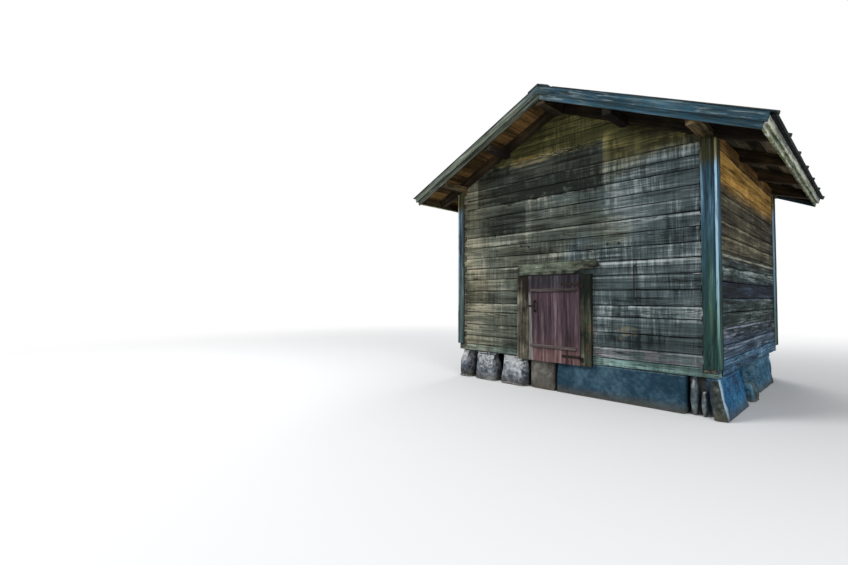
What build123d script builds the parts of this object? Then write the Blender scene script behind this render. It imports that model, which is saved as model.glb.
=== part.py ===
from build123d import *
import math
import os

# Log storehouse on a dry stone foundation.
# Millimetres. X runs along the door gable, Y from the door gable to the back gable, Z up.
# The origin is on the ground, under the middle of the roof.

# Walls of hewn logs, measured at their outer faces
WALL_WIDTH = 4100.0
WALL_DEPTH = 4200.0
LOG_THICKNESS = 160.0
LOG_ARRIS = 9.0
FIT = 0.4
OVERLAP = 1.0
SILL_HEIGHT = 480.0
WALL_COURSES = [110, 160, 205, 225, 160, 215, 205, 200, 190, 190, 190, 170, 160, 205, 165, 170]
GABLE_COURSES = [150, 140, 250, 190]
PLATE_RISE = 110.0
PLATE_TAIL_HEIGHT = 80.0
SIDE_SILL_PROUD = 15.0
SIDE_SILL_ARRIS = 24.0

# Roof
PITCH = 24.5
FRONT_OVERHANG = 600.0
BACK_OVERHANG = 700.0
EAVE_OVERHANG = 610.0
EAVE_CUT = 15.0
RAFTER_DEPTH = 180.0
RAFTER_TAIL_DEPTH = 125.0
RAFTER_TAIL_START = 80.0
RAFTER_WIDTH = 90.0
RAFTER_PAIR_COUNT = 4
VERGE_RAFTER_DEPTH = 100.0
VERGE_RAFTER_WIDTH = 60.0
RIDGE_PURLIN_SIZE = 150.0
SIDE_PURLIN_SIZE = 118.0
PURLIN_OFFSET = 980.0
PURLIN_NOTCH = 90.0
SIDE_PURLIN_NOTCH = 70.0
RIDGE_PURLIN_RISE = 20.0
DECK_THICKNESS = 25.0
DECK_BOARD_COUNT = 16
DECK_GAP = 4.0
DECK_PAST_EAVE = 50.0
FELT_THICKNESS = 6.0
FELT_PAST_DECK = 5.0
FELT_PAST_VERGE = 12.0
FELT_BATTEN_WIDTH = 90.0
FELT_BATTEN_TOP_WIDTH = 34.0
FELT_BATTEN_HEIGHT = 32.0
FELT_BATTEN_INSET = 100.0
FELT_BATTEN_COUNT = 7
RIDGE_BOARD_WIDTH = 170.0
RIDGE_BOARD_THICKNESS = 20.0
RIDGE_BOARD_GAP = 10.0
TRIM_THICKNESS = 26.0
BARGE_UPPER_DEPTH = 106.0
BARGE_DEPTH = 180.0
FASCIA_UPPER_DEPTH = 85.0
FASCIA_DEPTH = 132.0

# Corner casings
CASING_WIDTH_LEFT = 130.0
CASING_WIDTH_RIGHT = 175.0
CASING_SIDE_WIDTH = 175.0
CASING_THICKNESS = 30.0
CASING_FOOT = 110.0

# Doorway, frame and leaf
LEAF_LEFT_X = -515.0
LEAF_WIDTH = 870.0
LEAF_FOOT_DROP = 32.0
LEAF_HEIGHT = 1345.0
LEAF_THICKNESS = 35.0
LEAF_BOARD_SHARES = [0.46, 0.205, 0.195, 0.14]
LEAF_GAP = 6.0
OPENING_COVER = 33.0
THRESHOLD_HEIGHT = 78.0
JAMB_WIDTH_LEFT = 215.0
JAMB_WIDTH_RIGHT = 165.0
JAMB_DEPTH = 70.0
LINTEL_HEIGHT = 205.0
LINTEL_DEPTH = 88.0
LINTEL_SOUND_LENGTH = 970.0
LINTEL_INSET = 30.0
LINTEL_PAST_JAMB = 110.0
LINTEL_BREAK_RUNS = [0.0, 45.0, 120.0]
LINTEL_BREAK_RISES = [0.0, 30.0, 80.0]
LINTEL_BROKEN_RISE = 100.0
LINTEL_WORN_CORNER = 30.0
LEDGE_HEIGHT = 45.0
LEDGE_DEPTH = 30.0
LEDGE_INSET = 48.0
UPPER_LEDGE_DROP = 255.0
LOWER_LEDGE_RISE = 215.0

# Door ironwork
STRAP_LENGTH = 290.0
STRAP_HEIGHT = 42.0
STRAP_THICKNESS = 5.0
UPPER_STRAP_DROP = 145.0
LOWER_STRAP_RISE = 115.0
EYE_RADIUS = 13.0
PIN_RADIUS = 6.0
PIN_PLAY = 1.0
PINTLE_PLATE_WIDTH = 38.0
PINTLE_PLATE_HEIGHT = 70.0
PINTLE_PLATE_THICKNESS = 4.0
PINTLE_ARM_HEIGHT = 12.0
PIN_ABOVE_EYE = 8.0
HANDLE_HEIGHT = 200.0
HANDLE_REACH = 42.0
HANDLE_BAR = 18.0
HANDLE_FOOT = 29.0
HANDLE_SHOULDER = 40.0
HANDLE_FROM_EDGE = 125.0
HANDLE_RISE = 860.0
HASP_LENGTH = 100.0
HASP_HEIGHT = 30.0

# Floor
JOIST_SIZE = 120.0
JOIST_COUNT = 5
JOIST_INSET = 100.0
FLOOR_THICKNESS = 35.0
FLOOR_BOARD_COUNT = 20
FLOOR_GAP = 3.0

# Iron rod on the wall beside the door
ROD_X = 1110.0
ROD_RISE = 940.0
ROD_LENGTH = 470.0
ROD_RADIUS = 8.0
ROD_OFF_WALL = 30.0

# Foundation stones. A profile lists (share of the height, share of the spread) from the foot up.
STONE_INSIDE = 260.0
STONE_JOINT = 12.0
STONE_PAST_WALL = 30.0
STONE_SPREAD = 60.0
BLOCK_SPREAD = 20.0
BOULDER_SPREAD = 85.0
BOULDER_PROFILE = [(0.0, 0.8), (0.45, 1.0), (0.8, 0.3), (1.0, -1.0)]
BLOCK_PROFILE = [(0.0, 1.0), (0.5, 0.5), (0.93, 0.0), (1.0, -0.25)]
BOULDER_WIDTHS = [350.0, 570.0, 600.0]
DOOR_BLOCK_WIDTH = 440.0
SPLIT_CUTS = (0.06, 0.09, 0.05, 0.08)
BOULDER_CUTS = (0.3, 0.22, 0.26, 0.18)
SLANTED_PROFILE = [(0.0, 1.0), (1.0, 0.0)]
CORNER_GAP = 340.0
CORNER_BLOCK_WIDTH = 170.0
CORNER_BLOCK_LENGTH = 1150.0
CORNER_BLOCK_LEAN = 110.0
CORNER_BLOCK_CUTS = (0.06, 0.1, 0.35, 0.05)
PACKING_WIDTH = 110.0
PACKING_DEPTH = 170.0
LOW_PACKING_WIDTH = 80.0
LOW_PACKING_HEIGHT = 300.0
COBBLE_RECESS = 80.0
RIGHT_COBBLE_WIDTHS = [300.0, 330.0, 246.0]
LOW_BOULDER_FROM_SLAB = 260.0
LOW_BOULDER_LENGTH = 360.0
LOW_BOULDER_WIDTH = 150.0
LOW_BOULDER_HEIGHT = 250.0
RIGHT_BLOCK_SLANT = 430.0
RIGHT_BLOCK_LENGTH = 1070.0
BACK_CORNER_STONE_LENGTH = 560.0
LEFT_STONE_WIDTHS = [980.0, 850.0, 1050.0, 1090.0]
BACK_STONE_WIDTHS = [800.0, 930.0, 870.0, 860.0]

tan_pitch = math.tan(math.radians(PITCH))
cos_pitch = math.cos(math.radians(PITCH))
sin_pitch = math.sin(math.radians(PITCH))
tan_cut = math.tan(math.radians(EAVE_CUT))
trim_out = TRIM_THICKNESS / math.cos(math.radians(EAVE_CUT))

roof_length = FRONT_OVERHANG + WALL_DEPTH + BACK_OVERHANG
roof_front_y = -roof_length / 2
roof_back_y = roof_length / 2
inside_front_barge_y = roof_front_y + 2 * TRIM_THICKNESS + FIT
inside_back_barge_y = roof_back_y - 2 * TRIM_THICKNESS - FIT
front_y = roof_front_y + FRONT_OVERHANG
back_y = front_y + WALL_DEPTH
half_width = WALL_WIDTH / 2
inner_half = half_width - LOG_THICKNESS
inner_front_y = front_y + LOG_THICKNESS
inner_back_y = back_y - LOG_THICKNESS
wall_top = SILL_HEIGHT + sum(WALL_COURSES)
plate_top = wall_top + PLATE_RISE
eave_x = half_width + EAVE_OVERHANG

leaf_right_x = LEAF_LEFT_X + LEAF_WIDTH
leaf_bottom = SILL_HEIGHT - LEAF_FOOT_DROP
leaf_top = leaf_bottom + LEAF_HEIGHT
leaf_face_y = front_y - JAMB_DEPTH
opening_left = LEAF_LEFT_X + OPENING_COVER
opening_right = leaf_right_x - OPENING_COVER
opening_top = leaf_top - OPENING_COVER


def rafter_under(x):
    """Height of the underside of the rafters at x."""
    return wall_top + (half_width - abs(x)) * tan_pitch


def deck_under(x):
    """Height of the underside of the roof boards at x."""
    return rafter_under(x) + RAFTER_DEPTH / cos_pitch


def running_heights(start, courses):
    """Heights of the joints between courses, from the start up."""
    heights = [start]
    for course in courses:
        heights.append(heights[-1] + course)
    return heights


# A gable-wall log i fills the height from wall_joints[i] to wall_joints[i + 1].
# The side-wall logs lie half a course higher, so that the corners interlock.
wall_joints = running_heights(SILL_HEIGHT, WALL_COURSES)
side_joints = [SILL_HEIGHT]
for low, high in zip(wall_joints[1:-1], wall_joints[2:]):
    side_joints.append((low + high) / 2)


def box(x0, x1, y0, y1, z0, z1):
    return Pos((x0 + x1) / 2, (y0 + y1) / 2, (z0 + z1) / 2) * Box(x1 - x0, y1 - y0, z1 - z0)


def prism_y(points, y0, y1):
    """Outline in X and Z, pushed from y0 to y1."""
    face = make_face(Polyline(*[(x, y0, z) for x, z in points], close=True))
    return extrude(face, abs(y1 - y0), dir=(0, 1, 0))


def prism_x(points, x0, x1):
    """Outline in Y and Z, pushed from x0 to x1."""
    face = make_face(Polyline(*[(x0, y, z) for y, z in points], close=True))
    return extrude(face, abs(x1 - x0), dir=(1, 0, 0))


def save(name, shapes):
    """Writes the solids of one sub-part."""
    solids = []
    for shape in shapes:
        solids.extend(shape.solids())
    export_step(Compound(children=solids), os.path.join("parts", name + ".step"))
    print(name, len(solids), round(sum(solid.volume for solid in solids) / 1e9, 4))


def hewn_profile(a0, a1, z0, z1, c=LOG_ARRIS):
    """Section of a hewn log with its long edges eased by c."""
    return [
        (a0 + c, z0), (a1 - c, z0), (a1, z0 + c), (a1, z1 - c),
        (a1 - c, z1), (a0 + c, z1), (a0, z1 - c), (a0, z0 + c),
    ]


def gable_log_tenon(i):
    """Bottom and top of the end of gable-wall log i inside the corner."""
    low = (wall_joints[i] + side_joints[i]) / 2
    high = (side_joints[i] + wall_joints[i + 1]) / 2
    return low, high


def side_log_tenon(i):
    """Bottom and top of the end of side-wall log i inside the corner."""
    low = gable_log_tenon(i)[1]
    if i + 1 < len(WALL_COURSES):
        return low, gable_log_tenon(i + 1)[0]
    return low, plate_top


def gable_wall_log(i, y0, y1):
    """Log i of a gable wall, with a half-height tenon at each corner."""
    low = wall_joints[i] + FIT / 2
    high = wall_joints[i + 1] - FIT / 2
    log = prism_x(hewn_profile(y0, y1, low, high), -inner_half, inner_half)
    tenon_low, tenon_high = gable_log_tenon(i)
    for x0, x1 in ((-half_width, -inner_half), (inner_half, half_width)):
        log += box(x0, x1, y0, y1, tenon_low + FIT / 2, tenon_high - FIT / 2)
    return log


def side_wall_log(i, side):
    """Log i of a side wall. The lowest is the side sill, rounder and a little proud of the wall."""
    low = side_joints[i] + FIT / 2
    high = side_joints[i + 1] - FIT / 2
    proud = SIDE_SILL_PROUD if i == 0 else 0.0
    arris = SIDE_SILL_ARRIS if i == 0 else LOG_ARRIS
    x0, x1 = sorted((side * inner_half, side * (half_width + proud)))
    log = prism_y(hewn_profile(x0, x1, low, high, arris), inner_front_y + FIT, inner_back_y - FIT)
    x0, x1 = sorted((side * inner_half, side * half_width))
    tenon_low, tenon_high = side_log_tenon(i)
    for y0, y1 in ((front_y, inner_front_y + FIT), (inner_back_y - FIT, back_y)):
        log += box(x0, x1, y0, y1, tenon_low + FIT / 2, tenon_high - FIT / 2)
    return log


def front_wall_logs():
    """Logs of the door gable above the sill: left of the doorway, right of it, and over it."""
    doorway = box(
        opening_left, opening_right, front_y - OVERLAP, inner_front_y + OVERLAP,
        wall_joints[1], opening_top,
    )
    left, right, over = [], [], []
    for i in range(1, len(WALL_COURSES)):
        cut = gable_wall_log(i, front_y, inner_front_y) - doorway
        solids = cut.solids()
        if len(solids) == 1:
            over.append(cut)
        else:
            solids = sorted(solids, key=lambda solid: solid.center().X)
            left.append(solids[0])
            right.append(solids[1])
    return left, right, over


def purlin_box(x, z_top, size, extra=0.0):
    """Square purlin from verge to verge, or its notch where extra is the room around it."""
    half = size / 2 + extra
    z0 = z_top - size - extra
    return box(x - half, x + half, inside_front_barge_y, inside_back_barge_y, z0, z_top + extra)


def plate(side, extra=0.0):
    """Wall plate: the top log of a side wall, run out under both verges."""
    x0, x1 = sorted((side * (inner_half - extra), side * (half_width + extra)))
    last = len(WALL_COURSES) - 1
    low = side_joints[last] + FIT / 2
    body = box(x0, x1, inner_front_y + FIT, inner_back_y - FIT, low, plate_top + extra)
    over_corner = side_log_tenon(last)[0] + FIT / 2
    body += box(x0, x1, front_y - FIT, back_y + FIT, over_corner, plate_top + extra)
    tail_bottom = plate_top - PLATE_TAIL_HEIGHT
    body += box(x0, x1, inside_front_barge_y, inside_back_barge_y, tail_bottom, plate_top + extra)
    return body


ridge_purlin_top = rafter_under(0) + PURLIN_NOTCH + RIDGE_PURLIN_RISE
side_purlin_top = rafter_under(PURLIN_OFFSET) + SIDE_PURLIN_NOTCH


def ridge_purlin(extra=0.0):
    return purlin_box(0, ridge_purlin_top, RIDGE_PURLIN_SIZE, extra)


def side_purlin(side, extra=0.0):
    return purlin_box(side * PURLIN_OFFSET, side_purlin_top, SIDE_PURLIN_SIZE, extra)


def purlins(extra=0.0):
    return [ridge_purlin(extra), side_purlin(-1, extra), side_purlin(1, extra)]


def roof_point(side, u, v):
    """Point of a roof slope: u runs down the slope from the eave edge, v square to it, downwards."""
    x = eave_x + u * cos_pitch - v * sin_pitch
    z = deck_under(eave_x) - u * sin_pitch - v * cos_pitch
    return side * x, z


def eave_point(side, out, drop):
    """Point on the raked eave cut: out is level from the eave line, drop is plumb from the deck."""
    return side * (eave_x + out - drop * tan_cut), deck_under(eave_x + out) - drop


def slope_strip(side, out, v0, v1):
    """Outline of a layer from the plumb ridge joint to the raked cut at the eave."""
    ridge_top = (side * FIT, deck_under(FIT) - v0 / cos_pitch)
    ridge_bottom = (side * FIT, deck_under(FIT) - v1 / cos_pitch)
    per_drop = cos_pitch * (1 + tan_cut * tan_pitch)
    eave_top = eave_point(side, out, v0 / per_drop)
    eave_bottom = eave_point(side, out, v1 / per_drop)
    return [ridge_top, eave_top, eave_bottom, ridge_bottom]


slope_length = eave_x / cos_pitch


def rafter_stations():
    """Near faces of the rafters along the house."""
    first = front_y
    last = back_y - RAFTER_WIDTH
    step = (last - first) / (RAFTER_PAIR_COUNT - 1)
    return [first + i * step for i in range(RAFTER_PAIR_COUNT)]


def notched(rafter):
    """Rafter cut over the purlins and the wall plates."""
    for timber in purlins(FIT) + [plate(-1, FIT), plate(1, FIT)]:
        rafter -= timber
    return rafter


rafter_out = -2 * trim_out - 2 * FIT


def rafters(side):
    """Rafters whose tails taper from the wall to the eave."""
    outline = slope_strip(side, rafter_out, 0, RAFTER_DEPTH)
    outline[2] = slope_strip(side, rafter_out, 0, RAFTER_TAIL_DEPTH)[2]
    tail_x = half_width + RAFTER_TAIL_START
    outline.insert(3, (side * tail_x, rafter_under(tail_x)))
    return [notched(prism_y(outline, y, y + RAFTER_WIDTH)) for y in rafter_stations()]


def verge_rafters():
    """Light rafters under the verges, inside the barge boards."""
    made = []
    for side in (-1, 1):
        outline = slope_strip(side, rafter_out, 0, VERGE_RAFTER_DEPTH)
        for y in (inside_front_barge_y, inside_back_barge_y - VERGE_RAFTER_WIDTH):
            made.append(notched(prism_y(outline, y, y + VERGE_RAFTER_WIDTH)))
    return made


def deck(side):
    """Roof boards, laid along the ridge."""
    length = slope_length + DECK_PAST_EAVE
    pitch = length / DECK_BOARD_COUNT
    boards = []
    for i in range(DECK_BOARD_COUNT):
        u1 = DECK_PAST_EAVE - i * pitch
        u0 = u1 - pitch + DECK_GAP
        if i == DECK_BOARD_COUNT - 1:
            outline = slope_strip(side, u1 * cos_pitch, -DECK_THICKNESS, -FIT)
        else:
            outline = [
                roof_point(side, u0, -DECK_THICKNESS), roof_point(side, u1, -DECK_THICKNESS),
                roof_point(side, u1, -FIT), roof_point(side, u0, -FIT),
            ]
        boards.append(prism_y(outline, inside_front_barge_y, inside_back_barge_y))
    return boards


felt_v0 = -DECK_THICKNESS - FIT - FELT_THICKNESS
felt_v1 = -DECK_THICKNESS - FIT


def felt(side):
    """Felt of one slope, a little wider and longer than the boards."""
    outline = slope_strip(side, (DECK_PAST_EAVE + FELT_PAST_DECK) * cos_pitch, felt_v0, felt_v1)
    return [prism_y(outline, roof_front_y - FELT_PAST_VERGE, roof_back_y + FELT_PAST_VERGE)]


def felt_battens():
    """Bevelled battens over the laps of the felt, up and down each slope."""
    u_top = -slope_length + RIDGE_BOARD_WIDTH + RIDGE_BOARD_GAP
    u_bottom = DECK_PAST_EAVE + FELT_PAST_DECK
    foot = FELT_BATTEN_WIDTH / 2
    head = FELT_BATTEN_TOP_WIDTH / 2
    first = roof_front_y + FELT_BATTEN_INSET
    step = -2 * first / (FELT_BATTEN_COUNT - 1)
    base = felt_v0 - FIT
    made = []
    for side in (-1, 1):
        for i in range(FELT_BATTEN_COUNT):
            y = first + i * step
            x0, z0 = roof_point(side, u_top, base)
            x1, z1 = roof_point(side, u_top, base - FELT_BATTEN_HEIGHT)
            section = make_face(Polyline(
                (x0, y - foot, z0), (x0, y + foot, z0), (x1, y + head, z1), (x1, y - head, z1), close=True,
            ))
            run = (side * cos_pitch, 0, -sin_pitch)
            made.append(extrude(section, u_bottom - u_top, dir=run))
    return made


def ridge_boards():
    """A board on each side of the ridge, over the felt."""
    y0 = roof_front_y - FELT_PAST_VERGE
    y1 = roof_back_y + FELT_PAST_VERGE
    v1 = felt_v0 - FIT
    v0 = v1 - RIDGE_BOARD_THICKNESS
    out = RIDGE_BOARD_WIDTH * cos_pitch - eave_x
    return [prism_y(slope_strip(side, out, v0, v1), y0, y1) for side in (-1, 1)]


def barge_boards(outer_y, inward):
    """Two lapped boards on each slope, which also cover the ends of the deck."""
    made = []
    middle = outer_y + inward * TRIM_THICKNESS
    inner = outer_y + inward * 2 * TRIM_THICKNESS
    for side in (-1, 1):
        upper = slope_strip(side, 0, -DECK_THICKNESS, BARGE_UPPER_DEPTH - DECK_THICKNESS)
        lower = slope_strip(side, -trim_out, -DECK_THICKNESS, BARGE_DEPTH - DECK_THICKNESS)
        made.append(prism_y(upper, min(outer_y, middle), max(outer_y, middle)))
        gap = inward * FIT
        made.append(prism_y(lower, min(middle + gap, inner), max(middle + gap, inner)))
    return made


def fascia(side):
    """Two lapped boards on the raked rafter ends."""
    made = []
    for outer, depth in ((0, FASCIA_UPPER_DEPTH), (-trim_out - FIT, FASCIA_DEPTH)):
        inner = outer - trim_out
        outline = [
            eave_point(side, inner, FIT), eave_point(side, outer, FIT),
            eave_point(side, outer, depth), eave_point(side, inner, depth),
        ]
        made.append(prism_y(outline, inside_front_barge_y, inside_back_barge_y))
    return made


def gable_logs(y0, y1):
    """Logs of the gable triangle, cut to the slope of the rafters and notched for the purlins."""
    joints = running_heights(wall_top, GABLE_COURSES)
    joints.append(rafter_under(0))
    made = []
    for low, high in zip(joints[:-1], joints[1:]):
        z0 = low + FIT / 2
        z1 = high - FIT
        reach0 = half_width - (z0 + FIT - wall_top) / tan_pitch
        reach1 = half_width - (z1 + FIT - wall_top) / tan_pitch
        if low == wall_top:
            reach0 = min(reach0, inner_half - FIT)
            knee = rafter_under(inner_half) - FIT
            outline = [
                (-reach0, z0), (reach0, z0), (reach0, knee), (reach1, z1), (-reach1, z1), (-reach0, knee),
            ]
        elif high == joints[-1]:
            outline = [(-reach0, z0), (reach0, z0), (0, z1)]
        else:
            outline = [(-reach0, z0), (reach0, z0), (reach1, z1), (-reach1, z1)]
        log = prism_y(outline, y0, y1)
        for purlin in purlins(FIT):
            log -= purlin
        made.append(log)
    return made


def casing(side, wall_y, outward):
    """Two upright boards that cover the log ends of a corner: the side board laps the gable board."""
    z0 = SILL_HEIGHT + CASING_FOOT
    t = CASING_THICKNESS
    face_x = side * (half_width + t)
    face_y = wall_y + outward * t
    width = CASING_WIDTH_RIGHT if side > 0 else CASING_WIDTH_LEFT
    x0, x1 = sorted((face_x - side * width, side * half_width))
    y0, y1 = sorted((wall_y + outward * FIT, face_y))
    gable_board = box(x0, x1, y0, y1, z0, wall_top - FIT)
    x0, x1 = sorted((side * (half_width + FIT), face_x))
    y0, y1 = sorted((face_y - outward * CASING_SIDE_WIDTH, face_y))
    side_board = box(x0, x1, y0, y1, z0, rafter_under(half_width + t) - 2 * FIT)
    return [gable_board, side_board]


def door_boards():
    """Upright boards of unequal widths."""
    x0 = LEAF_LEFT_X
    made = []
    for share in LEAF_BOARD_SHARES:
        x1 = x0 + share * LEAF_WIDTH
        made.append(box(
            x0, x1 - FIT, leaf_face_y, leaf_face_y + LEAF_THICKNESS, leaf_bottom, leaf_top,
        ))
        x0 = x1
    return made


def door_ledge(z0):
    """Board across the outer face of the door boards."""
    y1 = leaf_face_y - FIT
    x0 = LEAF_LEFT_X + LEDGE_INSET
    x1 = leaf_right_x - LEDGE_INSET
    return [box(x0, x1, y1 - LEDGE_DEPTH, y1, z0, z0 + LEDGE_HEIGHT)]


axis_x = leaf_right_x + LEAF_GAP / 2
axis_y = leaf_face_y - EYE_RADIUS - PIN_PLAY
upper_strap_z = leaf_top - UPPER_STRAP_DROP
lower_strap_z = leaf_bottom + LOWER_STRAP_RISE


def strap_hinge(middle):
    """Iron strap on the leaf, rolled into an eye at the hinge side."""
    z0 = middle - STRAP_HEIGHT / 2
    z1 = middle + STRAP_HEIGHT / 2
    y1 = leaf_face_y - FIT
    strap = box(axis_x - STRAP_LENGTH, axis_x, y1 - STRAP_THICKNESS, y1, z0, z1)
    eye = Pos(axis_x, axis_y, middle) * Cylinder(EYE_RADIUS, STRAP_HEIGHT)
    bore = Pos(axis_x, axis_y, middle) * Cylinder(PIN_RADIUS + PIN_PLAY, STRAP_HEIGHT + 2 * OVERLAP)
    return [strap + eye - bore]


def pintle(strap_z):
    """Iron plate on the frame with an arm and the pin that the strap turns on."""
    eye_bottom = strap_z - STRAP_HEIGHT / 2
    arm_top = eye_bottom - 2 * PIN_PLAY
    arm_bottom = arm_top - PINTLE_ARM_HEIGHT
    y1 = leaf_face_y - FIT
    x0 = axis_x + EYE_RADIUS
    middle = (arm_top + arm_bottom) / 2
    plate_solid = box(
        x0, x0 + PINTLE_PLATE_WIDTH, y1 - PINTLE_PLATE_THICKNESS, y1,
        middle - PINTLE_PLATE_HEIGHT / 2, middle + PINTLE_PLATE_HEIGHT / 2,
    )
    arm = box(
        axis_x, x0 + PINTLE_PLATE_WIDTH, axis_y - PIN_RADIUS, y1 - OVERLAP, arm_bottom, arm_top,
    )
    pin_height = arm_top + STRAP_HEIGHT + 2 * PIN_PLAY + PIN_ABOVE_EYE - arm_bottom
    pin = Pos(axis_x, axis_y, arm_bottom + pin_height / 2) * Cylinder(PIN_RADIUS, pin_height)
    return [plate_solid + arm + pin]


def door_handle():
    """Upright iron pull with a hasp beside it."""
    y1 = leaf_face_y - FIT
    x = LEAF_LEFT_X + HANDLE_FROM_EDGE
    z = leaf_bottom + HANDLE_RISE
    y0 = y1 - HANDLE_REACH
    half = HANDLE_HEIGHT / 2
    outer = [
        (y1, z - half), (y0, z - half + HANDLE_BAR), (y0, z + half - HANDLE_BAR), (y1, z + half),
    ]
    grip = y0 + HANDLE_BAR
    inner = [
        (y1, z + half - HANDLE_FOOT), (grip, z + half - HANDLE_SHOULDER),
        (grip, z - half + HANDLE_SHOULDER), (y1, z - half + HANDLE_FOOT),
    ]
    pull = prism_x(outer + inner, x - HANDLE_BAR / 2, x + HANDLE_BAR / 2)
    hasp_x = x - HANDLE_BAR - HASP_LENGTH
    hasp = box(
        hasp_x, hasp_x + HASP_LENGTH, y1 - STRAP_THICKNESS, y1, z - HASP_HEIGHT / 2, z + HASP_HEIGHT / 2,
    )
    return [pull, hasp]


def door_jamb(x0, x1):
    """Upright of the door frame, on the face of the wall."""
    return [box(x0, x1, leaf_face_y, front_y - FIT, leaf_bottom, leaf_top + LEAF_GAP)]


def door_lintel():
    """Board over the door. Its right end has split away along the lower edge."""
    x0 = LEAF_LEFT_X - LEAF_GAP - JAMB_WIDTH_LEFT + LINTEL_INSET
    x1 = leaf_right_x + LEAF_GAP + JAMB_WIDTH_RIGHT + LINTEL_PAST_JAMB
    z0 = leaf_top + LEAF_GAP + FIT
    z1 = z0 + LINTEL_HEIGHT
    worn = LINTEL_WORN_CORNER
    outline = [(x0, z0)]
    for run, rise in zip(LINTEL_BREAK_RUNS, LINTEL_BREAK_RISES):
        outline.append((x0 + LINTEL_SOUND_LENGTH + run, z0 + rise))
    outline += [(x1, z0 + LINTEL_BROKEN_RISE), (x1 - worn, z1 - worn), (x1 - 2 * worn, z1)]
    outline += [(x0 + worn, z1), (x0, z1 - 2 * worn)]
    return [prism_y(outline, front_y - LINTEL_DEPTH, front_y - FIT)]


joist_top = SILL_HEIGHT + JOIST_SIZE


def floor_joists():
    """Joists from side wall to side wall, level with the top of the stones."""
    first = inner_front_y + JOIST_INSET
    step = (inner_back_y - JOIST_INSET - first) / (JOIST_COUNT - 1)
    made = []
    for i in range(JOIST_COUNT):
        y = first + i * step
        made.append(box(
            -inner_half + FIT, inner_half - FIT, y - JOIST_SIZE / 2, y + JOIST_SIZE / 2,
            SILL_HEIGHT, joist_top,
        ))
    return made


def floor_boards():
    """Floor boards along the house."""
    width = 2 * inner_half / FLOOR_BOARD_COUNT
    bottom = joist_top + FIT
    made = []
    for i in range(FLOOR_BOARD_COUNT):
        x0 = -inner_half + i * width + FLOOR_GAP / 2
        made.append(box(
            x0, x0 + width - FLOOR_GAP, inner_front_y + FLOOR_GAP, inner_back_y - FLOOR_GAP,
            bottom, bottom + FLOOR_THICKNESS,
        ))
    return made


def threshold():
    """Beam across the foot of the doorway."""
    z0 = wall_joints[1] + FIT / 2
    return [box(
        opening_left + FIT, opening_right - FIT, front_y, inner_front_y, z0, z0 + THRESHOLD_HEIGHT,
    )]


def wall_rod():
    """Iron rod that stands off the wall, its ends turned in against it."""
    y = front_y - ROD_OFF_WALL
    middle = SILL_HEIGHT + ROD_RISE + ROD_LENGTH / 2
    end = ROD_LENGTH / 2 - ROD_RADIUS
    rod = Pos(ROD_X, y, middle) * Cylinder(ROD_RADIUS, ROD_LENGTH)
    for z in (middle - end, middle + end):
        rod += box(
            ROD_X - ROD_RADIUS, ROD_X + ROD_RADIUS, y, front_y - FIT, z - ROD_RADIUS, z + ROD_RADIUS,
        )
    return [rod]


def stone(x0, x1, y0, y1, z_top, profile, spread, cuts, lean=0.0):
    """Rough stone between the given faces.

    The spread pushes its left, right, front and back faces out by the profile's share at each
    level, cuts are the shares that its four corners lose, and the foot leans out along X.
    """
    rings = []
    for share, grow in profile:
        shift = lean * (1 - share)
        a0, a1 = x0 - spread[0] * grow + shift, x1 + spread[1] * grow + shift
        b0, b1 = y0 - spread[2] * grow, y1 + spread[3] * grow
        c = [cut * min(a1 - a0, b1 - b0) for cut in cuts]
        corners = [
            (a0 + c[0], b0), (a1 - c[1], b0), (a1, b0 + c[1]), (a1, b1 - c[2]),
            (a1 - c[2], b1), (a0 + c[3], b1), (a0, b1 - c[3]), (a0, b0 + c[0]),
        ]
        rings.append(make_face(Polyline(*[(x, y, share * z_top) for x, y in corners], close=True)))
    return loft(rings, ruled=True)


stone_top = SILL_HEIGHT - FIT


def front_boulders():
    """Three rounded boulders under the left end of the door gable."""
    made = []
    x = -half_width - STONE_PAST_WALL
    for width in BOULDER_WIDTHS:
        made.append(stone(
            x + STONE_JOINT, x + width - STONE_JOINT, front_y - STONE_PAST_WALL, front_y + STONE_INSIDE,
            stone_top, BOULDER_PROFILE, (STONE_JOINT / 2, STONE_JOINT / 2, BOULDER_SPREAD, 0), BOULDER_CUTS,
        ))
        x += width
    return made


door_block_left = -half_width - STONE_PAST_WALL + sum(BOULDER_WIDTHS) + 2 * STONE_JOINT
door_block_right = door_block_left + DOOR_BLOCK_WIDTH
front_block_right = half_width - CORNER_GAP


def split_block(x0, x1):
    """Split block flush with the door gable."""
    y1 = front_y + STONE_INSIDE
    spread = (0, 0, BLOCK_SPREAD, 0)
    return stone(x0, x1, front_y, y1, stone_top, BLOCK_PROFILE, spread, SPLIT_CUTS)


def packing_stones():
    """Two upright cobbles between the long block and the corner slab."""
    x1 = front_block_right + 2 * STONE_JOINT
    x2 = x1 + PACKING_WIDTH
    x3 = x2 + FIT + LOW_PACKING_WIDTH
    y0 = front_y + STONE_JOINT
    y1 = y0 + PACKING_DEPTH
    spread = (0, 0, 2 * STONE_JOINT, 0)
    return [
        stone(x1, x2, y0, y1, stone_top, BLOCK_PROFILE, spread, BOULDER_CUTS),
        stone(x2 + FIT, x3, y0, y1, LOW_PACKING_HEIGHT, BLOCK_PROFILE, spread, BOULDER_CUTS),
    ]


corner_block_back = front_y + CORNER_BLOCK_LENGTH


def corner_block():
    """Split slab under the front right corner, its foot leaning outwards."""
    x1 = half_width + STONE_JOINT
    return stone(
        x1 - CORNER_BLOCK_WIDTH, x1, front_y - STONE_PAST_WALL, corner_block_back, stone_top,
        BLOCK_PROFILE, (0, 0, STONE_SPREAD, BLOCK_SPREAD), CORNER_BLOCK_CUTS, CORNER_BLOCK_LEAN,
    )


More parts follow.
